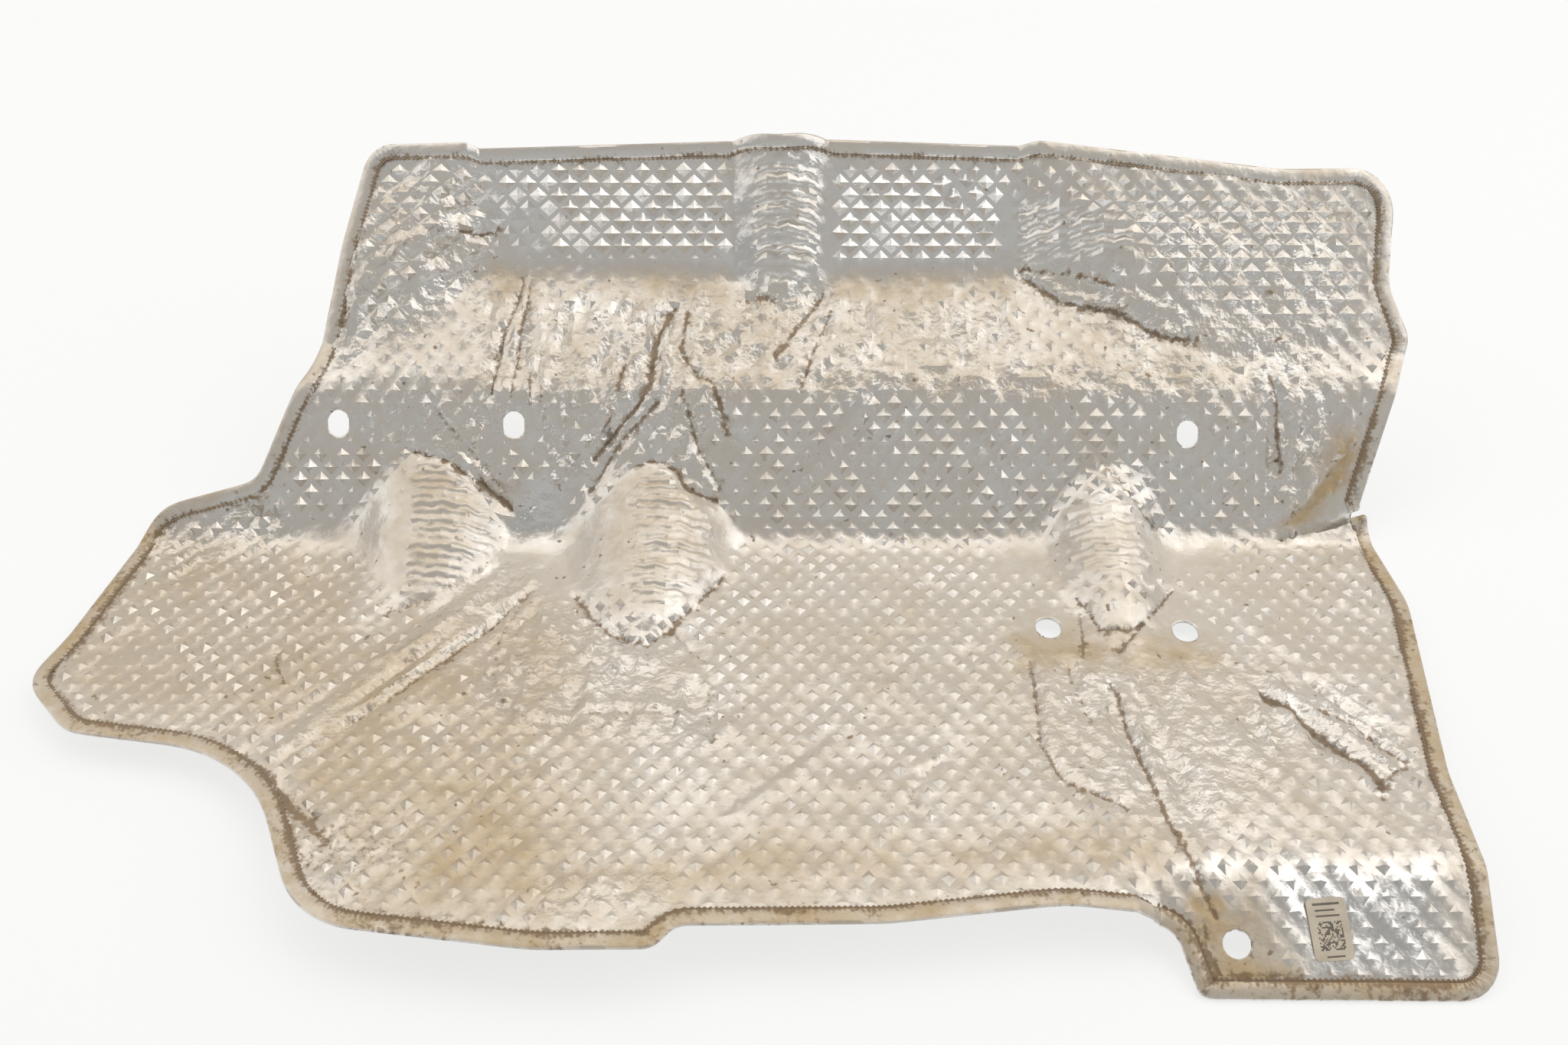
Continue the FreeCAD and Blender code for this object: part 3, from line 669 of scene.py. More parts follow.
# Flattened places keep little of the embossing: pads round the holes, drawn flanks, bends and the seat
# of the label. Each has its outline in pixels, the width of its soft edge in mm, and how flat it is.
FLATTENED = {
    "left_gusset_flank": (((470, 660), (528, 615), (538, 705), (518, 765), (478, 745)), 10.0, 0.95),
    "middle_gusset_flank": (((758, 690), (826, 615), (820, 745), (812, 775), (752, 752)), 10.0, 0.95),
    "middle_gusset_right": (((935, 665), (965, 690), (955, 740), (930, 750)), 8.0, 0.9),
    "heel_left": (((380, 672), (500, 672), (500, 712), (380, 710)), 8.0, 0.9),
    "heel_between": (
        ((640, 690), (690, 640), (735, 640), (765, 690), (790, 765), (700, 800), (650, 780)),
        10.0, 0.95,
    ),
    "heel_middle": (((955, 680), (1010, 690), (1010, 716), (955, 712)), 6.0, 0.8),
    "heel_right": (((1300, 705), (1385, 705), (1385, 760), (1300, 745)), 8.0, 0.9),
    "heel_far_right": (((1510, 705), (1600, 700), (1600, 745), (1510, 750)), 8.0, 0.9),
    "shelf_back_left": (((640, 335), (950, 340), (950, 372), (640, 368)), 8.0, 0.75),
    "shelf_back_right": (((1085, 340), (1315, 340), (1315, 372), (1085, 375)), 8.0, 0.85),
    "shelf": (
        (
            (640, 372), (950, 372), (1000, 400), (1090, 385), (1320, 378), (1600, 450), (1600, 490),
            (620, 505), (480, 480),
        ),
        20.0, 0.25,
    ),
    "flute_flank": (((955, 205), (986, 205), (986, 375), (955, 370)), 4.0, 1.0),
    "flute_right_edge": (((1068, 205), (1090, 205), (1090, 360), (1068, 370)), 5.0, 0.95),
    "right_facet_edge": (((1305, 255), (1326, 255), (1326, 347), (1305, 347)), 5.0, 0.95),
    "panel_patch": (((640, 262), (712, 262), (712, 335), (640, 335)), 12.0, 0.6),
    "floor_hole_pad": (
        ((1335, 790), (1420, 800), (1560, 790), (1600, 835), (1560, 875), (1380, 870), (1320, 835)),
        12.0, 0.9,
    ),
    "bead_strip": (((690, 735), (700, 770), (440, 960), (420, 925)), 8.0, 0.9),
    "bead_strip_front": (((690, 790), (650, 850), (480, 950), (470, 925)), 10.0, 0.7),
    "wing_smooth": (((95, 860), (200, 830), (230, 870), (120, 890)), 14.0, 0.6),
    "tab_hole_pad": (((1575, 1195), (1665, 1190), (1665, 1275), (1590, 1280)), 10.0, 0.8),
    "label_seat": (((1703, 1172), (1760, 1166), (1773, 1256), (1712, 1260)), 3.0, 0.85),
}
# Wrinkled zones: where they are, two pixels that show the wrinkles' direction, how far apart and how long
# they are, and their height, in mm.
WRINKLED = {
    "left_panel": (
        ((485, 222), (640, 225), (660, 335), (560, 420), (452, 480), (445, 420), (470, 330)),
        ((600, 290), (460, 400)),
        (9.0, 40.0, 1.8),
    ),
    "left_corner": (
        ((490, 225), (640, 225), (650, 300), (560, 335), (482, 335)),
        ((640, 240), (490, 330)),
        (13.0, 34.0, 0.9),
    ),
    "shelf_middle": (
        ((1085, 392), (1330, 392), (1330, 465), (1085, 465)),
        ((1200, 395), (1195, 455)),
        (7.0, 24.0, 1.9),
    ),
    "brow_right": (
        ((1000, 470), (1630, 470), (1630, 520), (1000, 520)),
        ((1100, 490), (1300, 492)),
        (9.0, 16.0, 1.6),
    ),
    "right_panel": (
        ((1480, 270), (1740, 262), (1770, 400), (1640, 430), (1500, 350)),
        ((1500, 290), (1700, 400)),
        (14.0, 40.0, 1.1),
    ),
    "shelf_left": (
        ((620, 385), (900, 392), (900, 500), (620, 510)),
        ((690, 380), (655, 500)),
        (8.0, 40.0, 2.0),
    ),
    "brow_middle": (
        ((800, 385), (1000, 395), (960, 520), (940, 620), (830, 600), (760, 620), (800, 500)),
        ((880, 400), (800, 570)),
        (9.0, 34.0, 2.1),
    ),
    "flute_foot": (
        ((900, 378), (1095, 380), (1080, 470), (930, 490)),
        ((1060, 390), (960, 470)),
        (8.0, 26.0, 1.9),
    ),
    "wall_left": (
        ((480, 520), (680, 520), (700, 640), (640, 650), (560, 580), (480, 580)),
        ((565, 535), (665, 655)),
        (8.0, 34.0, 1.5),
    ),
    "wall_between": (
        ((690, 500), (830, 500), (760, 640), (700, 640)),
        ((700, 510), (705, 600)),
        (7.0, 30.0, 1.4),
    ),
    "floor_fan": (
        ((1330, 860), (1640, 860), (1740, 960), (1560, 1100), (1480, 1060), (1360, 1010)),
        ((1450, 890), (1520, 1060)),
        (14.0, 70.0, 1.5),
    ),
    "floor_left": (
        ((640, 790), (720, 790), (900, 850), (940, 970), (700, 950), (620, 930)),
        ((680, 790), (640, 920)),
        (12.0, 45.0, 1.7),
    ),
    "right_facet": (
        ((1335, 352), (1480, 350), (1640, 450), (1500, 460), (1350, 390)),
        ((1345, 365), (1560, 445)),
        (9.0, 45.0, 1.8),
    ),
    "right_shelf": (
        ((1560, 400), (1720, 400), (1740, 480), (1600, 490)),
        ((1590, 450), (1720, 430)),
        (11.0, 40.0, 1.3),
    ),
    "right_wall": (
        ((1640, 490), (1740, 482), (1762, 560), (1690, 670), (1650, 690)),
        ((1670, 500), (1680, 680)),
        (9.0, 36.0, 1.8),
    ),
    "flap": (
        ((1640, 890), (1760, 900), (1845, 985), (1810, 1020), (1700, 960)),
        ((1650, 900), (1800, 1010)),
        (9.0, 36.0, 1.5),
    ),
    "wing_back": (
        ((195, 700), (330, 660), (360, 700), (230, 760)),
        ((330, 660), (230, 740)),
        (8.0, 26.0, 1.4),
    ),
    "front_lobe": (
        ((700, 1155), (880, 1140), (870, 1185), (700, 1195)),
        ((720, 1180), (880, 1160)),
        (8.0, 30.0, 1.4),
    ),
    "bead": (
        ((700, 745), (690, 805), (430, 965), (372, 985), (400, 930), (640, 745)),
        ((697, 759), (436, 943)),
        (9.0, 80.0, 1.5),
    ),
    "notch": (
        ((295, 650), (372, 640), (385, 695), (285, 690)),
        ((340, 640), (330, 690)),
        (6.0, 12.0, 1.8),
    ),
    "between_gussets": (
        ((665, 645), (690, 620), (722, 620), (742, 660), (720, 690), (680, 690)),
        ((680, 640), (730, 690)),
        (9.0, 14.0, 1.4),
    ),
    "gusset_lumps": (
        ((850, 568), (890, 558), (915, 585), (940, 635), (905, 628), (870, 600)),
        ((860, 570), (930, 630)),
        (7.0, 12.0, 1.6),
    ),
}
# How much dust lies, where it is less or more than elsewhere.
DUSTED = {
    "tab": (((1560, 1135), (1870, 1125), (1890, 1280), (1600, 1280)), 20.0, 0.3),
    "tab_left": (((1575, 1180), (1640, 1160), (1690, 1240), (1680, 1280), (1600, 1285)), 20.0, 6.0),
    "panel": (((645, 225), (955, 215), (955, 335), (700, 330)), 20.0, 0.6),
    "panel_right": (((1085, 215), (1310, 225), (1310, 340), (1085, 340)), 15.0, 0.4),
    "between_gussets": (((667, 690), (690, 625), (720, 625), (745, 690)), 8.0, 0.2),
    "flap": (((1640, 890), (1760, 890), (1845, 960), (1830, 1060), (1700, 960)), 15.0, 0.8),
    "shelf_back_left": (((640, 345), (950, 348), (950, 392), (640, 388)), 10.0, 1.5),
    "shelf_back_right": (((1085, 350), (1320, 350), (1320, 392), (1085, 392)), 10.0, 1.5),
    "wing": (((60, 880), (200, 690), (480, 720), (470, 900), (340, 980), (130, 930)), 40.0, 0.9),
    "left_gusset": (((500, 600), (590, 610), (655, 700), (590, 765), (500, 765)), 15.0, 1.3),
    "middle_gusset": (((790, 614), (868, 611), (945, 690), (922, 745), (800, 800)), 15.0, 1.3),
    "right_gusset": (
        ((1385, 680), (1440, 660), (1500, 690), (1500, 780), (1440, 800), (1390, 760)),
        15.0, 1.2,
    ),
    "shelf": (((470, 470), (620, 400), (1330, 400), (1600, 450), (1600, 490), (480, 500)), 20.0, 1.2),
    "floor_holes": (((1330, 835), (1595, 838), (1590, 872), (1340, 872)), 20.0, 1.5),
    "front": (
        ((560, 1130), (900, 1120), (1500, 1090), (1540, 1120), (900, 1160), (560, 1185)),
        30.0, 1.25,
    ),
    "brow": (((620, 485), (1640, 480), (1640, 512), (620, 512)), 10.0, 1.15),
    "right_wall_flap": (
        ((1672, 690), (1712, 640), (1752, 570), (1768, 560), (1772, 620), (1690, 694)),
        10.0, 3.0,
    ),
    "floor_left": (
        ((470, 830), (700, 830), (800, 1180), (560, 1190), (400, 1130), (350, 1000)),
        60.0, 1.15,
    ),
}
# A thin brown film there, which tints the metal without dulling it.
STAINED = {"wing": 0.2, "floor_left": 0.2, "front": 0.15, "floor_holes": 0.1}
# Places that hold dirt beside the creases.
SOILED = {
    "tab_hole": (((1570, 1180), (1640, 1170), (1690, 1230), (1690, 1280), (1600, 1285)), 25.0, 0.2),
    "front_left": (((400, 1040), (520, 1050), (560, 1130), (480, 1165), (410, 1125)), 25.0, 0.5),
    "right_facet": (((1322, 262), (1400, 268), (1400, 300), (1325, 300)), 12.0, 0.35),
    "notch": (((310, 650), (360, 645), (370, 690), (315, 690)), 12.0, 0.5),
    "heel": (((1120, 692), (1240, 697), (1240, 715), (1120, 710)), 8.0, 0.5),
    "floor_holes": (((1385, 835), (1520, 838), (1520, 862), (1385, 860)), 14.0, 0.4),
    "brow": (((830, 420), (900, 420), (880, 520), (800, 540)), 25.0, 0.3),
    "shelf_end": (((1600, 440), (1740, 400), (1760, 450), (1640, 485)), 20.0, 0.3),
    "floor_left": (((480, 800), (660, 790), (640, 900), (470, 900)), 30.0, 0.2),
    "front_left_edge": (
        (
            (345, 1000), (375, 1010), (420, 1110), (470, 1165), (560, 1190), (745, 1195), (745, 1215),
            (550, 1212), (400, 1150),
        ),
        10.0, 0.3,
    ),
    "wing_edge": (((75, 850), (215, 680), (225, 695), (95, 880), (110, 920), (90, 925)), 8.0, 0.4),
    "tab_edge": (
        ((1600, 1262), (1850, 1270), (1870, 1240), (1885, 1250), (1870, 1290), (1600, 1285)),
        10.0, 0.35,
    ),
    "right_edge": (
        ((1690, 660), (1760, 740), (1790, 800), (1775, 805), (1740, 745), (1680, 680)),
        10.0, 0.35,
    ),
}
# A used sheet is never flat. It has broad swells (size and height in mm, and the noise's layer), and soft
# and fine folds (size and layer, how they wander, how they fall from a crest, and where they are strong).
SWELLS = ((55.0, 0.8, 0), (19.0, 0.4, 5))
FOLDS = {
    "crumple": (24.0, 2, (0.6, 0.7), (0.6, 2.4), (80.0, 4, 0.2, 0.6)),
    "crinkle": (12.0, 6, (0.5, 0.8), (0.4, 1.8), (60.0, 7, 0.3, 0.8)),
}
FOLD_HEIGHT = 0.55
# Ripples wander and zigzag with the pyramids, and differ in height. The sizes are across and along the run.
RIPPLE_SOFT = 6.0
RIPPLE_WANDER = 0.4
WANDER_SIZE = (11.0, 25.0)
RIPPLE_ZIGZAG = 0.35
RIPPLE_LEVEL = 0.85
RIPPLE_UNEVEN = 0.6
UNEVEN_SIZE = (9.0, 7.0)
# A wrinkle falls from a crest on both sides, with finer wrinkles on it.
WRINKLE_SOFT = 16.0
WRINKLE_CREST = 0.65
WRINKLE_FALL = 2.6
WRINKLE_FINER = 2.3
WRINKLE_FINE_FALL = 0.9
# A crease's flanks are nearly straight, and its line of dirt and painted shade is a little narrower than it
# is.
CREASE_FLANK = 1.4
CREASE_DIRT_AND_SHADE = 0.9
# How much of the embossing is lost where the sheet was folded, and how far dents change the rest.
RIPPLE_LOSS = 0.75
WRINKLE_LOSS = 0.3
CREASE_LOSS = 0.6
DENT_SIZE = 26.0
DENT_DEPTH = 0.6
DENT_LIMIT = 1.1
BOLD_RISE = 0.35
# Where embossing and swells start, from the edge and from the holes, and the width over which they grow.
HEM_WIDTH = 8.0
EMBOSS_EDGE = (HEM_WIDTH, 4.0)
EMBOSS_FREE = (1.5, 7.0)
SWELL_EDGE = (2.0, 8.0)
SWELL_FREE = (1.0, 8.0)


def noise_over(points, across_size, run_size, layer):
    """Noise on the blank, with features of those sizes in mm."""
    return np.array([noise.noise((across / across_size, run / run_size, layer)) for across, run in points])


nearest = [edge_tree.find((across, run, 0)) for across, run in points]
depth = np.array([distance for place, index, distance in nearest])
beside_slit = at_slit[[index for place, index, distance in nearest]]
embossing = grown(depth, *EMBOSS_EDGE) * away_from_holes(points, *EMBOSS_FREE)
for pixels, soft_edge, amount in FLATTENED.values():
    embossing *= 1 - amount * zone(points, pixels, soft_edge)
swell = np.zeros(len(points))
wander = RIPPLE_WANDER * noise_over(points, *WANDER_SIZE, 3)
uneven = RIPPLE_LEVEL + RIPPLE_UNEVEN * noise_over(points, *UNEVEN_SIZE, 8)
zigzag = RIPPLE_ZIGZAG * np.abs(points[:, 0] / PYRAMID_ACROSS % 1 - 0.5) * 2
for pixels, pitch, height in RIPPLED.values():
    cover = zone(points, pixels, RIPPLE_SOFT)
    waves = np.abs(np.sin(math.pi * (points[:, 1] / pitch + wander + zigzag)))
    swell += cover * height * uneven * (waves * 2 - 1)
    embossing *= 1 - RIPPLE_LOSS * cover
crinkled = np.zeros(len(points))
for pixels, way, (pitch, length, height) in WRINKLED.values():
    cover = zone(points, pixels, WRINKLE_SOFT)
    crinkled = np.maximum(crinkled, cover)
    way = np.subtract(*(seen_at(pixel) for pixel in way))
    way /= np.linalg.norm(way)
    for index in np.nonzero(cover)[0]:
        along = points[index] @ way
        beside_it = points[index] @ (-way[1], way[0])
        at = Vector((beside_it / pitch, along / length, pitch))
        fall = WRINKLE_FALL * abs(noise.noise(at))
        fall += WRINKLE_FINE_FALL * abs(noise.noise(at * WRINKLE_FINER))
        swell[index] += cover[index] * height * (WRINKLE_CREST - fall)
    embossing *= 1 - WRINKLE_LOSS * cover
grime_and_shade = np.zeros(len(points))
for name, (height, width, dirt_and_shade, pixels) in CREASES.items():
    gap = distance_to(points, crease_paths[name]) / width
    swell += height * np.exp(-(gap**CREASE_FLANK))
    embossing *= 1 - CREASE_LOSS * np.exp(-(gap**2))
    # Each groove is painted brown along its line: partly dirt, partly painted shade in the groove.
    grime_and_shade += dirt_and_shade * np.exp(-((gap / CREASE_DIRT_AND_SHADE) ** 2))
for size, height, layer in SWELLS:
    swell += height * noise_over(points, size, size, layer)
for size, layer, (warp, warp_scale), (crest, fall), (patch, patch_layer, least, usual) in FOLDS.values():
    strength = FOLD_HEIGHT * np.maximum(least, usual + noise_over(points, patch, patch, patch_layer))
    for index, (across, run) in enumerate(points):
        at = Vector((across / size, run / size, layer))
        at += warp * noise.noise_vector(at * warp_scale)
        swell[index] += (crest - fall * abs(noise.noise(at))) * strength[index]
embossing *= np.minimum(DENT_LIMIT, 1 + DENT_DEPTH * noise_over(points, DENT_SIZE, DENT_SIZE, 9))
rise = PYRAMID_HEIGHT * own_height * (1 + BOLD_RISE * bold) * embossing * np.clip(share, 0, 1)
swell *= grown(depth, *SWELL_EDGE) * away_from_holes(points, *SWELL_FREE)
normals = [vert.normal.copy() for vert in sheet.verts]
for vert, normal, out in zip(sheet.verts, normals, rise + swell):
    vert.co += normal * float(out)
    vert.co.z = max(vert.co.z, GAUGE)

# Punched edges follow the mounts' slots.
EDGE_CATCH = 2.5
for hole in holes:
    lengthways = hole["axis"].cross(ACROSS).normalized()
    for vert in sheet.verts:
        away = vert.co - hole["place"]
        if not vert.is_boundary or away.length > hole["radius"] + hole["half"] + EDGE_CATCH:
            continue
        long_part = max(-hole["half"], min(hole["half"], away.dot(lengthways)))
        middle = lengthways * long_part
        flat_away = away - hole["axis"] * away.dot(hole["axis"]) - middle
        rim = hole["place"] + middle + flat_away.normalized() * hole["radius"]
        vert.co = rim + hole["axis"] * (GAUGE / 2)
bmesh.ops.scale(sheet, verts=sheet.verts, vec=(MM, MM, MM))
bmesh.ops.recalc_face_normals(sheet, faces=sheet.faces)
if sum(face.normal.z for face in sheet.faces) < 0:
    bmesh.ops.reverse_faces(sheet, faces=sheet.faces)

# A pyramid's four ridges are crisp, and its foot runs out softly, apart from the bold ones.
# Folds are crisp where they are sharp.
SHARP = math.radians(38)
EMBOSSED = 0.15
LINE_CATCH = 0.05
raised = (share > -ON_FOOT) & (embossing > EMBOSSED)
on_crest = raised & (np.abs(from_tip[:, 1]) < LINE_CATCH)
on_spine = raised & (np.abs(from_tip[:, 0]) < LINE_CATCH)
on_foot = raised & (np.abs(share) < ON_FOOT) & (bold > 0.5)
for face in sheet.faces:
    face.smooth = True
for edge in sheet.edges:
    start, end = (vert.index for vert in edge.verts)
    ridge = any(line[start] and line[end] for line in (on_crest, on_spine, on_foot))
    ridge = ridge and (number[start] == number[end]).all()
    edge.smooth = not ridge and (not edge.is_manifold or edge.calc_face_angle() < SHARP)

# Dirt gathers along the hem's inner side and round the holes, each over a width in mm.
HEM_DIRT = 0.6
HEM_DIRT_AT = HEM_WIDTH + 0.5
HEM_DIRT_WIDTH = 1.8
HOLE_DIRT = 0.35
HOLE_DIRT_WIDTH = 2.0
GRIME_AND_SHADE_LIMIT = 2.0
grime_and_shade += HEM_DIRT * np.exp(-(((depth - HEM_DIRT_AT) / HEM_DIRT_WIDTH) ** 2)) * ~beside_slit
for hole in holes:
    grime_and_shade += HOLE_DIRT * np.exp(-((hole_gap(points, hole) / HOLE_DIRT_WIDTH) ** 2))
sheet_mesh = bpy.data.meshes.new("embossed_sheet")
sheet.to_mesh(sheet_mesh)
sheet.free()
for pixels, soft_edge, amount in SOILED.values():
    grime_and_shade += amount * zone(points, pixels, soft_edge)
dust_share = np.ones(len(points))
for pixels, soft_edge, amount in DUSTED.values():
    dust_share *= 1 + (amount - 1) * zone(points, pixels, soft_edge)
stain = np.zeros(len(points))
for name, amount in STAINED.items():
    pixels, soft_edge, dust_there = DUSTED[name]
    stain = np.maximum(stain, amount * zone(points, pixels, soft_edge))
grime_and_shade = np.clip(grime_and_shade, 0, GRIME_AND_SHADE_LIMIT)
shown = {"grime_and_shade": grime_and_shade, "dust_share": dust_share, "crinkled": crinkled, "stain": stain}
for name, values in shown.items():
    attribute = sheet_mesh.attributes.new(name, "FLOAT", "POINT")
    attribute.data.foreach_set("value", values.astype(np.float32))
sheet_piece = bpy.data.objects.new("embossed_sheet", sheet_mesh)
bpy.context.scene.collection.objects.link(sheet_piece)
thickness = sheet_piece.modifiers.new("gauge", "SOLIDIFY")
thickness.thickness = GAUGE * MM
thickness.offset = -1
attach(sheet_piece, "root")
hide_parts("heat_shield")


def linear(code):
    """An sRGB hex colour as linear RGBA."""
    parts = [int(code[at : at + 2], 16) / 255 for at in (1, 3, 5)]
    return [part / 12.92 if part <= 0.04045 else ((part + 0.055) / 1.055) ** 2.4 for part in parts] + [1.0]


def add_node(tree, kind, inputs=None, **settings):
    """Adds a node with its settings. Its inputs are values, or sockets to link."""
    node = tree.nodes.new(kind)
    for name, value in settings.items():
        setattr(node, name, value)
    for name, value in (inputs or {}).items():
        if isinstance(value, bpy.types.NodeSocket):
            tree.links.new(value, node.inputs[name])
        else:
            node.inputs[name].default_value = value
    return node


# Embossed mill-finish aluminium after years under a car: bare metal that mirrors softly on steep faces,
# beige road dust on what faces up, brown dirt along the hem, and brown in the creases that is partly dirt and
# partly painted shade.
BARE_METAL = "#EAEAE9"
ROAD_DUST = "#B8A17D"
BROWN_DIRT_AND_SHADE = "#7D6444"
FILM_TINT = 1.1
DIRT_AND_SHADE_COVER = 0.85
DIRT_AND_SHADE_FROM = 0.42
CRINKLE_STRENGTH = 0.9
# Size in mm, detail and roughness of each pattern: patches and smears of dust, grit that breaks up the
# dirt, single specks of it, and the crinkles of thin metal.
PATTERNS = {
    "patches": (45.0, 5.0, 0.6),
    "smears": (9.0, 4.0, 0.6),
    "grit": (3.0, 3.0, 0.6),
    "specks": (5.0, 2.0, 0.5),
    "crinkles": (7.0, 3.0, 0.5),
}


def per_mm(size):
    """A texture scale on Object coordinates that gives features of that size in mm."""
    return 1 / (size * MM)


aluminium = bpy.data.materials.new("embossed_aluminium_dusty")
aluminium.use_nodes = True
tree = aluminium.node_tree
tree.nodes.clear()
place = add_node(tree, "ShaderNodeTexCoord").outputs["Object"]
normal = add_node(tree, "ShaderNodeNewGeometry").outputs["Normal"]
facing = add_node(tree, "ShaderNodeSeparateXYZ", {0: normal}).outputs["Z"]
patterns = {}
for name, (size, detail, roughness) in PATTERNS.items():
    inputs = {"Vector": place, "Scale": per_mm(size), "Detail": detail, "Roughness": roughness}
    patterns[name] = add_node(tree, "ShaderNodeTexNoise", inputs).outputs["Fac"]
carried = {}
for name in ("dust_share", "grime_and_shade", "stain", "crinkled"):
    carried[name] = add_node(tree, "ShaderNodeAttribute", attribute_name=name).outputs["Fac"]
# Dust settles on what faces up, with more or less of it in patches and smears. Dirt, with the painted
# shade in the creases, is broken by grit and has specks, and crinkles stand higher where the sheet is
# wrinkled.
readings = {
    "settled": (facing, (0.35, 1.0), (0.12, 0.46)),
    "patchy": (patterns["patches"], (0.35, 0.7), (-0.08, 0.1)),
    "smeared": (patterns["smears"], (0.3, 0.7), (-0.08, 0.08)),
    "broken": (patterns["grit"], (0.3, 0.7), (-0.4, 0.4)),
    "speckled": (patterns["specks"], (0.7, 0.76), (0.0, 0.8)),
    "crinkle_height": (carried["crinkled"], (0.0, 1.0), (0.6 * MM, 2.0 * MM)),
}
read = {}
for name, (value, (low, high), (to_low, to_high)) in readings.items():
    inputs = {"Value": value, "From Min": low, "From Max": high, "To Min": to_low, "To Max": to_high}
    read[name] = add_node(tree, "ShaderNodeMapRange", inputs).outputs["Result"]
uneven_dust = add_node(
    tree, "ShaderNodeMath", {0: read["patchy"], 1: read["smeared"]}, operation="ADD"
).outputs[0]
lying = add_node(
    tree, "ShaderNodeMath", {0: read["settled"], 1: uneven_dust}, operation="ADD", use_clamp=True
).outputs[0]
dust = add_node(
    tree, "ShaderNodeMath", {0: lying, 1: carried["dust_share"]}, operation="MULTIPLY", use_clamp=True
).outputs[0]
gathered_and_shaded = add_node(
    tree, "ShaderNodeMath", {0: carried["grime_and_shade"], 1: read["broken"]}, operation="ADD"
).outputs[0]
creased = add_node(
    tree,
    "ShaderNodeMapRange",
    {"Value": gathered_and_shaded, "From Min": DIRT_AND_SHADE_FROM, "To Max": DIRT_AND_SHADE_COVER},
    interpolation_type="SMOOTHSTEP",
).outputs["Result"]
dirt_and_shade = add_node(
    tree, "ShaderNodeMath", {0: creased, 1: read["speckled"]}, operation="ADD", use_clamp=True
).outputs[0]
film = add_node(
    tree,
    "ShaderNodeMath",
    {0: dust, 1: FILM_TINT, 2: carried["stain"]},
    operation="MULTIPLY_ADD",
    use_clamp=True,
).outputs[0]
dusted = add_node(
    tree, "ShaderNodeMix", {0: film, 6: linear(BARE_METAL), 7: linear(ROAD_DUST)}, data_type="RGBA"
).outputs[2]
# The brown stands for dirt, and along the creases' grooves also for painted shade.
soiled_and_shaded = add_node(
    tree, "ShaderNodeMix", {0: dirt_and_shade, 6: dusted, 7: linear(BROWN_DIRT_AND_SHADE)}, data_type="RGBA"
).outputs[2]
cover = add_node(tree, "ShaderNodeMath", {0: dust, 1: dirt_and_shade}, operation="MAXIMUM").outputs[0]
# Dust, dirt and the creases' painted shade make it less of a mirror.
finish = {}
for name, clean, covered in (("Metallic", 1.0, 0.05), ("Roughness", 0.2, 0.5)):
    inputs = {"Value": cover, "To Min": clean, "To Max": covered}
    finish[name] = add_node(tree, "ShaderNodeMapRange", inputs).outputs["Result"]
relief = add_node(
    tree,
    "ShaderNodeBump",
    {"Height": patterns["crinkles"], "Strength": CRINKLE_STRENGTH, "Distance": read["crinkle_height"]},
).outputs["Normal"]
surface = add_node(
    tree, "ShaderNodeBsdfPrincipled", {"Base Color": soiled_and_shaded, "Normal": relief, **finish}
).outputs["BSDF"]
add_node(tree, "ShaderNodeOutputMaterial", {"Surface": surface})
sheet_mesh.materials.append(aluminium)

# The hem: the sheet's edge folded over onto its face all round and crimped flat, with a row of small teeth
# along its inner side and pleats where it turns a corner. Its sections are inset and height in mm.
HEM_SECTION = (
    (8.5, -0.5),
    (8.3, 0.25),
    (7.8, 0.75),
    (7.1, 0.45),
    (6.6, 0.85),
    (4.0, 1.0),
    (1.3, 0.9),
    (0.35, 0.5),
    (0.0, -0.3),
    (0.3, -0.95),
    (1.4, -1.15),
    (3.4, -1.05),
    (3.6, -0.6),
    (8.5, -0.5),
)
TOOTH_DEPTH = 0.45
TOOTH_RINGS = (0, 1, 2, 13)
PLEAT_PITCH = 3.2
PLEATED_RINGS = (4, 5, 6)
PLEAT_HEIGHT = 0.4
PLEAT_TURN = 14.0
WAVE_SIZE = 23.0
WAVE_HEIGHT = 0.25
CAST_INSET = 2.4
CAST_INSET_FAR = 6.5
HEM_SHARP = math.radians(40)
# Dirt in a dashed line along the teeth, in patches, and where the hem turns. Less lies higher up.
TEETH_LINE = 7.6
TEETH_LINE_WIDTH = 1.1
TEETH_DIRT = (0.7, 1.4)
PATCH_LEVEL = 0.45
PATCH_UNEVEN = 0.5
PATCH_SIZE = 31.0
LESS_HIGH_UP = 0.4
TURN_DIRT = 1.8
HEM_DUST = 1.7
cad_height = (cad_box[1][2] - cad_box[0][2]) / MM
hem = bmesh.new()
bmesh.ops.create_grid(hem, x_segments=edge_count, y_segments=len(HEM_SECTION) - 1, size=0.5)
bmesh.ops.translate(hem, verts=hem.verts, vec=(0.5, 0.5, 0))
bmesh.ops.scale(hem, verts=hem.verts, vec=(edge_count, len(HEM_SECTION) - 1, 1))
turning = evened(np.cross(edge_way, np.roll(edge_way, -1, axis=0)) / EDGE_STEP, TURN_PASSES)
hem_seats = []
for index in range(edge_count):
    seats = []
    for inset in (CAST_INSET, CAST_INSET_FAR):
        across, run = blank_edge[index] + edge_inward[index] * inset
        seats.append(underside(across, float(lift_of(run))))
    if None in seats:
        hem_seats.append(hem_seats[-1])
        continue
    inward = (seats[1][0] - seats[0][0]).normalized()
    normal = -(seats[0][1] + seats[1][1]).normalized()
    inward = (inward - normal * inward.dot(normal)).normalized()
    hem_seats.append((seats[0][0], inward, normal))
grime_layer = hem.verts.layers.float.new("grime_and_shade")
dust_layer = hem.verts.layers.float.new("dust_share")
slit_verts = set()
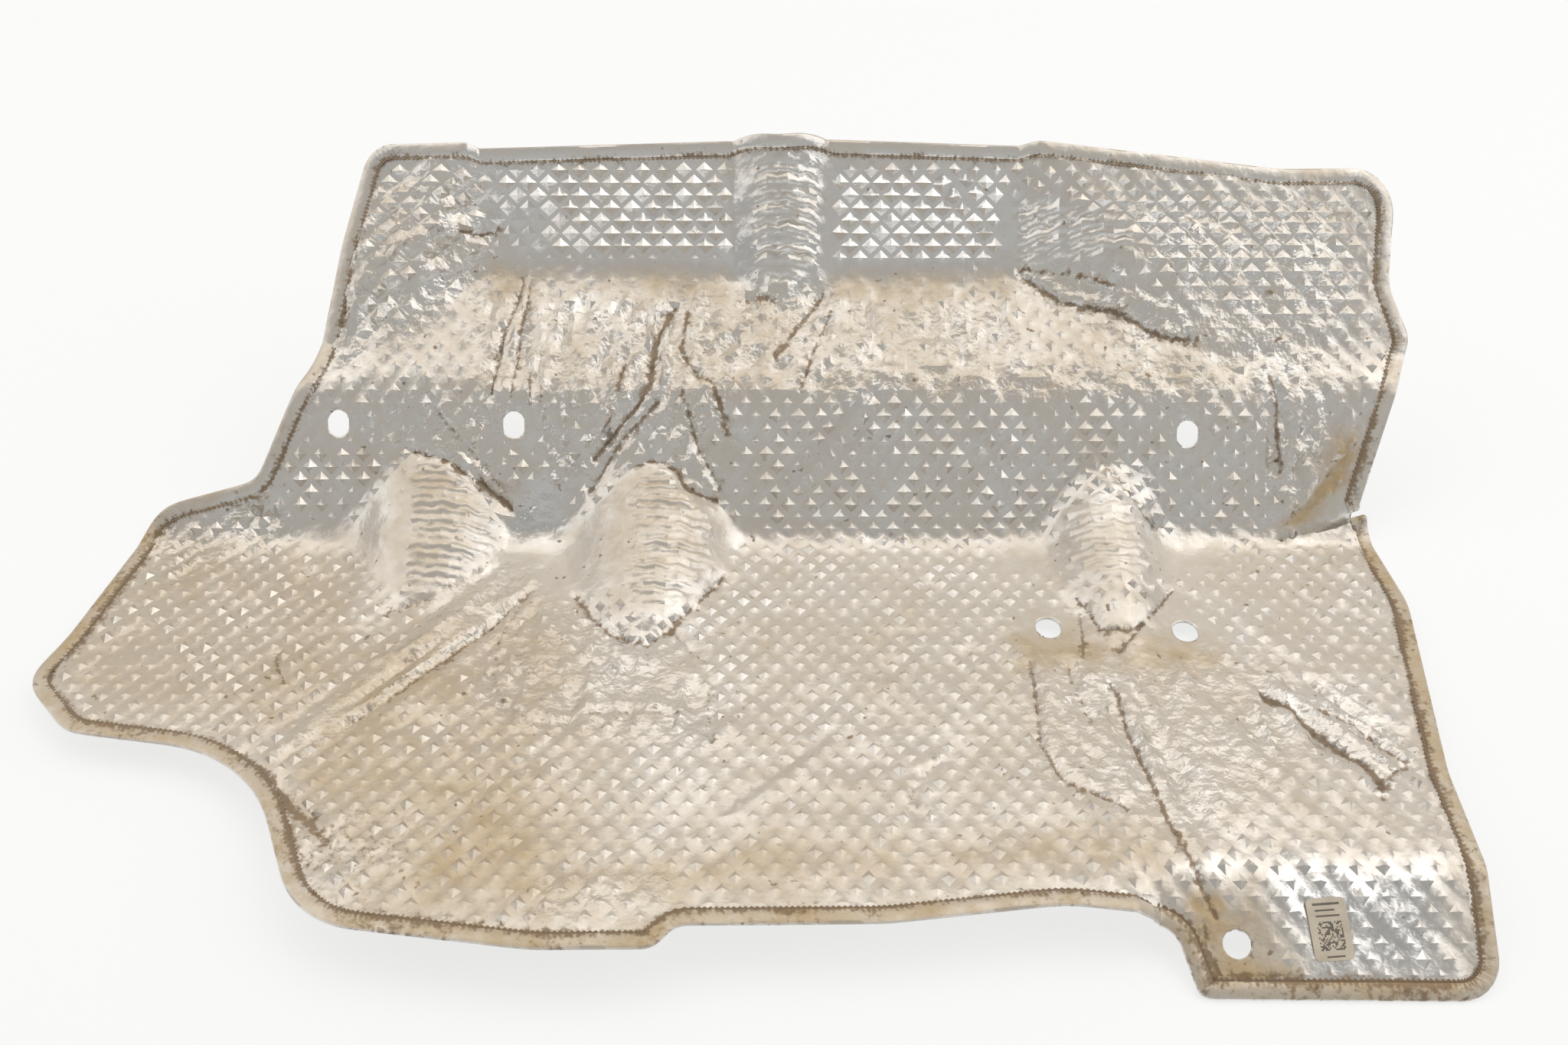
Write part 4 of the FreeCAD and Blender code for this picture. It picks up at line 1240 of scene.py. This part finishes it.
for vert in hem.verts:
    station = round(vert.co.x) % edge_count
    if at_slit[station]:
        slit_verts.add(vert)
    ring_number = round(vert.co.y)
    inset, height = HEM_SECTION[ring_number]
    place, inward, normal = hem_seats[station]
    if ring_number in TOOTH_RINGS:
        inset += TOOTH_DEPTH * (station % 2 * 2 - 1)
    if ring_number in PLEATED_RINGS:
        pleat = PLEAT_HEIGHT * min(1, max(0, turning[station] * PLEAT_TURN))
        height += pleat * (abs(math.sin(math.pi * station * EDGE_STEP / PLEAT_PITCH)) - 0.5)
        height += WAVE_HEIGHT * noise.noise(place / WAVE_SIZE)
    vert.co = place + inward * (inset - CAST_INSET) + normal * (GAUGE + height)
    less = LESS_HIGH_UP * place.z / cad_height
    dash = TEETH_DIRT[station % 2] * math.exp(-(((inset - TEETH_LINE) / TEETH_LINE_WIDTH) ** 2))
    patchy = PATCH_LEVEL + PATCH_UNEVEN * noise.noise(place / PATCH_SIZE) - less
    vert[grime_layer] = dash + max(0, patchy) + TURN_DIRT * max(0, turning[station])
    vert[dust_layer] = HEM_DUST * (1 - less)
bmesh.ops.scale(hem, verts=hem.verts, vec=(MM, MM, MM))
in_slit = [face for face in hem.faces if all(vert in slit_verts for vert in face.verts)]
bmesh.ops.delete(hem, geom=in_slit, context="FACES")
bmesh.ops.remove_doubles(hem, verts=hem.verts, dist=0.01 * MM)
bmesh.ops.holes_fill(hem, edges=[edge for edge in hem.edges if edge.is_boundary], sides=0)
bmesh.ops.recalc_face_normals(hem, faces=hem.faces)
for face in hem.faces:
    face.smooth = True
for edge in hem.edges:
    edge.smooth = not edge.is_manifold or edge.calc_face_angle() < HEM_SHARP
hem_mesh = bpy.data.meshes.new("hem")
hem.to_mesh(hem_mesh)
hem.free()
hem_mesh.materials.append(aluminium)
hem_piece = bpy.data.objects.new("hem", hem_mesh)
bpy.context.scene.collection.objects.link(hem_piece)
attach(hem_piece, "root")

# The label: a small printed paper sticker on the tab, with rounded corners, stuck on after the pressing.
# Its print is only plain bars and a block of random squares.
LABEL_CORNER = 2.2
LABEL_CORNER_STEPS = 5
LABEL_CELLS = (8, 12)
LABEL_LIFT = 0.3
LABEL_CURL = 0.25
LABEL_CURL_SIZE = 9.0
label = bmesh.new()
label.from_mesh(frame["nodes"]["label"].data)
bmesh.ops.remove_doubles(label, verts=label.verts, dist=WELD)
bmesh.ops.dissolve_limit(label, angle_limit=math.radians(1), verts=label.verts, edges=label.edges)
# Its four shortest edges are its thickness, the next four its width, and the longest its length.
lengths = sorted(label.edges, key=lambda edge: edge.calc_length())
short_edges = lengths[:4]
label_up = (short_edges[0].verts[0].co - short_edges[0].verts[1].co).normalized()
if label_up.z < 0:
    label_up.negate()
label_along = (lengths[-1].verts[0].co - lengths[-1].verts[1].co).normalized()
if label_along.y < 0:
    label_along.negate()
label_across = label_along.cross(label_up)
label_width = lengths[5].calc_length()
label_length = lengths[-1].calc_length()
label_middle = sum((vert.co for vert in label.verts), Vector()) / len(label.verts)
bmesh.ops.bevel(
    label,
    geom=short_edges,
    affect="EDGES",
    offset=LABEL_CORNER * MM,
    segments=LABEL_CORNER_STEPS,
    profile=0.5,
    material=-1,
)
sides = ((label_across, label_width), (label_along, label_length))
for (direction, size), count in zip(sides, LABEL_CELLS):
    for step in range(1, count):
        bmesh.ops.bisect_plane(
            label,
            geom=label.verts[:] + label.edges[:] + label.faces[:],
            plane_co=label_middle + direction * size * (step / count - 0.5),
            plane_no=direction,
        )
print_map = label.loops.layers.uv.new("print")
for face in label.faces:
    for loop in face.loops:
        away = loop.vert.co - label_middle
        loop[print_map].uv = (
            away.dot(label_across) / label_width + 0.5,
            away.dot(label_along) / label_length + 0.5,
        )
for vert in label.verts:
    curl = LABEL_CURL * noise.noise(vert.co / (LABEL_CURL_SIZE * MM))
    vert.co += label_up * (LABEL_LIFT + curl) * MM
label_mesh = bpy.data.meshes.new("label_sticker")
label.to_mesh(label_mesh)
label.free()
label_piece = bpy.data.objects.new("label_sticker", label_mesh)
bpy.context.scene.collection.objects.link(label_piece)
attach(label_piece, "root")
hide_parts("label")

# Matt label paper, yellowed, with faded black print.
PAPER = "#D9CFBF"
YELLOWED = "#B5A68E"
YELLOWED_SIZE = 6.0
PRINT = "#3C3833"
PRINT_LEFT = 0.8
paper = bpy.data.materials.new("label_paper_printed")
paper.use_nodes = True
tree = paper.node_tree
tree.nodes.clear()
print_at = add_node(tree, "ShaderNodeUVMap", uv_map="print").outputs["UV"]
place = add_node(tree, "ShaderNodeTexCoord").outputs["Object"]
yellowed = add_node(
    tree, "ShaderNodeTexNoise", {"Vector": place, "Scale": per_mm(YELLOWED_SIZE), "Detail": 4.0}
).outputs["Fac"]
paper_tone = add_node(
    tree, "ShaderNodeMix", {0: yellowed, 6: linear(PAPER), 7: linear(YELLOWED)}, data_type="RGBA"
).outputs[2]
# Bars stand in for the lines of print, each with its middle, height, left and right end as shares of the
# label, and a square of random cells for the block below them.
BARS = ((0.90, 0.04, 0.16, 0.84), (0.80, 0.03, 0.2, 0.7), (0.71, 0.03, 0.2, 0.8), (0.06, 0.03, 0.3, 0.75))
BLOCK_LOW = (0.18, 0.16)
BLOCK_SIZE = (0.64, 0.46)
BLOCK_CELLS = 17
parts = add_node(tree, "ShaderNodeSeparateXYZ", {0: print_at})
print_x, print_y = parts.outputs["X"], parts.outputs["Y"]
in_block = print_at
for operation, amount in (("SUBTRACT", (*BLOCK_LOW, 0)), ("DIVIDE", (*BLOCK_SIZE, 1))):
    inputs = {0: in_block, 1: amount}
    in_block = add_node(tree, "ShaderNodeVectorMath", inputs, operation=operation).outputs[0]
cells = add_node(
    tree, "ShaderNodeVectorMath", {0: in_block, 1: (BLOCK_CELLS,) * 3}, operation="MULTIPLY"
).outputs[0]
cells = add_node(tree, "ShaderNodeVectorMath", {0: cells}, operation="FLOOR").outputs[0]
chance = add_node(tree, "ShaderNodeTexWhiteNoise", {"Vector": cells}, noise_dimensions="2D").outputs["Value"]
inked = add_node(tree, "ShaderNodeMath", {0: chance, 1: 0.5}, operation="GREATER_THAN").outputs[0]
block = add_node(tree, "ShaderNodeSeparateXYZ", {0: in_block})
for axis in ("X", "Y"):
    inside_block = add_node(
        tree, "ShaderNodeMath", {0: block.outputs[axis], 1: 0.5, 2: 0.5}, operation="COMPARE"
    ).outputs[0]
    inked = add_node(tree, "ShaderNodeMath", {0: inked, 1: inside_block}, operation="MULTIPLY").outputs[0]
for middle, height, left, right in BARS:
    in_height = add_node(
        tree, "ShaderNodeMath", {0: print_y, 1: middle, 2: height / 2}, operation="COMPARE"
    ).outputs[0]
    in_width = add_node(
        tree,
        "ShaderNodeMath",
        {0: print_x, 1: (left + right) / 2, 2: (right - left) / 2},
        operation="COMPARE",
    ).outputs[0]
    bar = add_node(tree, "ShaderNodeMath", {0: in_height, 1: in_width}, operation="MULTIPLY").outputs[0]
    inked = add_node(tree, "ShaderNodeMath", {0: inked, 1: bar}, operation="MAXIMUM").outputs[0]
faded = add_node(tree, "ShaderNodeMath", {0: inked, 1: PRINT_LEFT}, operation="MULTIPLY").outputs[0]
printed = add_node(
    tree, "ShaderNodeMix", {0: faded, 6: paper_tone, 7: linear(PRINT)}, data_type="RGBA"
).outputs[2]
surface = add_node(
    tree, "ShaderNodeBsdfPrincipled", {"Base Color": printed, "Roughness": 0.75}
).outputs["BSDF"]
add_node(tree, "ShaderNodeOutputMaterial", {"Surface": surface})
label_mesh.materials.append(paper)

# The studio: a plain pale floor, soft lamps above the sides and the back, and a room that is brighter
# at the back.
FLOOR_SIZE = 30.0
WHITENING = 0.7
FLOOR_TONE = "#F4F4F2"
floor_mesh = bpy.data.meshes.new("floor")
floor_shape = bmesh.new()
bmesh.ops.create_grid(floor_shape, x_segments=1, y_segments=1, size=FLOOR_SIZE / 2)
floor_shape.to_mesh(floor_mesh)
floor_shape.free()
floor = bpy.data.objects.new("floor", floor_mesh)
bpy.context.scene.collection.objects.link(floor)
pale = bpy.data.materials.new("pale_floor")
pale.use_nodes = True
tree = pale.node_tree
tree.nodes.clear()
rays = add_node(tree, "ShaderNodeLightPath").outputs
seen = rays["Is Camera Ray"]
for kind in ("Is Glossy Ray", "Is Transmission Ray"):
    seen = add_node(tree, "ShaderNodeMath", {0: seen, 1: rays[kind]}, operation="MAXIMUM").outputs[0]
whitened = add_node(tree, "ShaderNodeMath", {0: seen, 1: WHITENING}, operation="MULTIPLY").outputs[0]
painted = add_node(tree, "ShaderNodeBsdfDiffuse", {"Color": linear(FLOOR_TONE)}).outputs[0]
white = add_node(tree, "ShaderNodeEmission", {"Color": linear("#FFFFFF"), "Strength": 1.0}).outputs[0]
mixed = add_node(tree, "ShaderNodeMixShader", {0: whitened, 1: painted, 2: white}).outputs[0]
add_node(tree, "ShaderNodeOutputMaterial", {"Surface": mixed})
floor_mesh.materials.append(pale)

# Each lamp's place, width and depth in metres, and its power in watts.
LAMPS = {
    "left_lamp": ((-1.6, 0.12, 1.4), (1.9, 1.9), 10.0),
    "right_lamp": ((1.6, 0.12, 1.4), (1.9, 1.9), 14.0),
    "back_lamp": ((0.1, 0.72, 1.9), (2.4, 1.5), 13.0),
}
for name, (lamp_place, (lamp_width, lamp_depth), power) in LAMPS.items():
    lamp_data = bpy.data.lights.new(name, "AREA")
    lamp_data.shape = "RECTANGLE"
    lamp_data.size = lamp_width
    lamp_data.size_y = lamp_depth
    lamp_data.energy = power
    lamp = bpy.data.objects.new(name, lamp_data)
    lamp.location = lamp_place
    lamp.rotation_euler = (-lamp.location).to_track_quat("-Z", "Y").to_euler()
    bpy.context.scene.collection.objects.link(lamp)
# The room's tone from its front to its back, by how far back a direction points.
ROOM_TONES = ((-0.83, "#BEBEBC"), (-0.3, "#929292"), (0.15, "#B8B6B2"), (0.8, "#D6D2CB"))
world = bpy.data.worlds.new("room")
world.use_nodes = True
tree = world.node_tree
tree.nodes.clear()
looking = add_node(tree, "ShaderNodeTexCoord").outputs["Generated"]
backwards = add_node(tree, "ShaderNodeSeparateXYZ", {0: looking}).outputs["Y"]
turned = add_node(
    tree, "ShaderNodeMapRange", {"Value": backwards, "From Min": -1.0, "From Max": 1.0}
).outputs["Result"]
ramp = add_node(tree, "ShaderNodeValToRGB", {"Fac": turned})
stops = ramp.color_ramp.elements
while len(stops) < len(ROOM_TONES):
    stops.new(0.5)
for stop, (direction, code) in zip(stops, ROOM_TONES):
    stop.position = (direction + 1) / 2
    stop.color = linear(code)
tone = ramp.outputs["Color"]
room = add_node(tree, "ShaderNodeBackground", {"Color": tone}).outputs[0]
add_node(tree, "ShaderNodeOutputWorld", {"Surface": room})
bpy.context.scene.world = world
bpy.context.scene.view_settings.view_transform = "Standard"
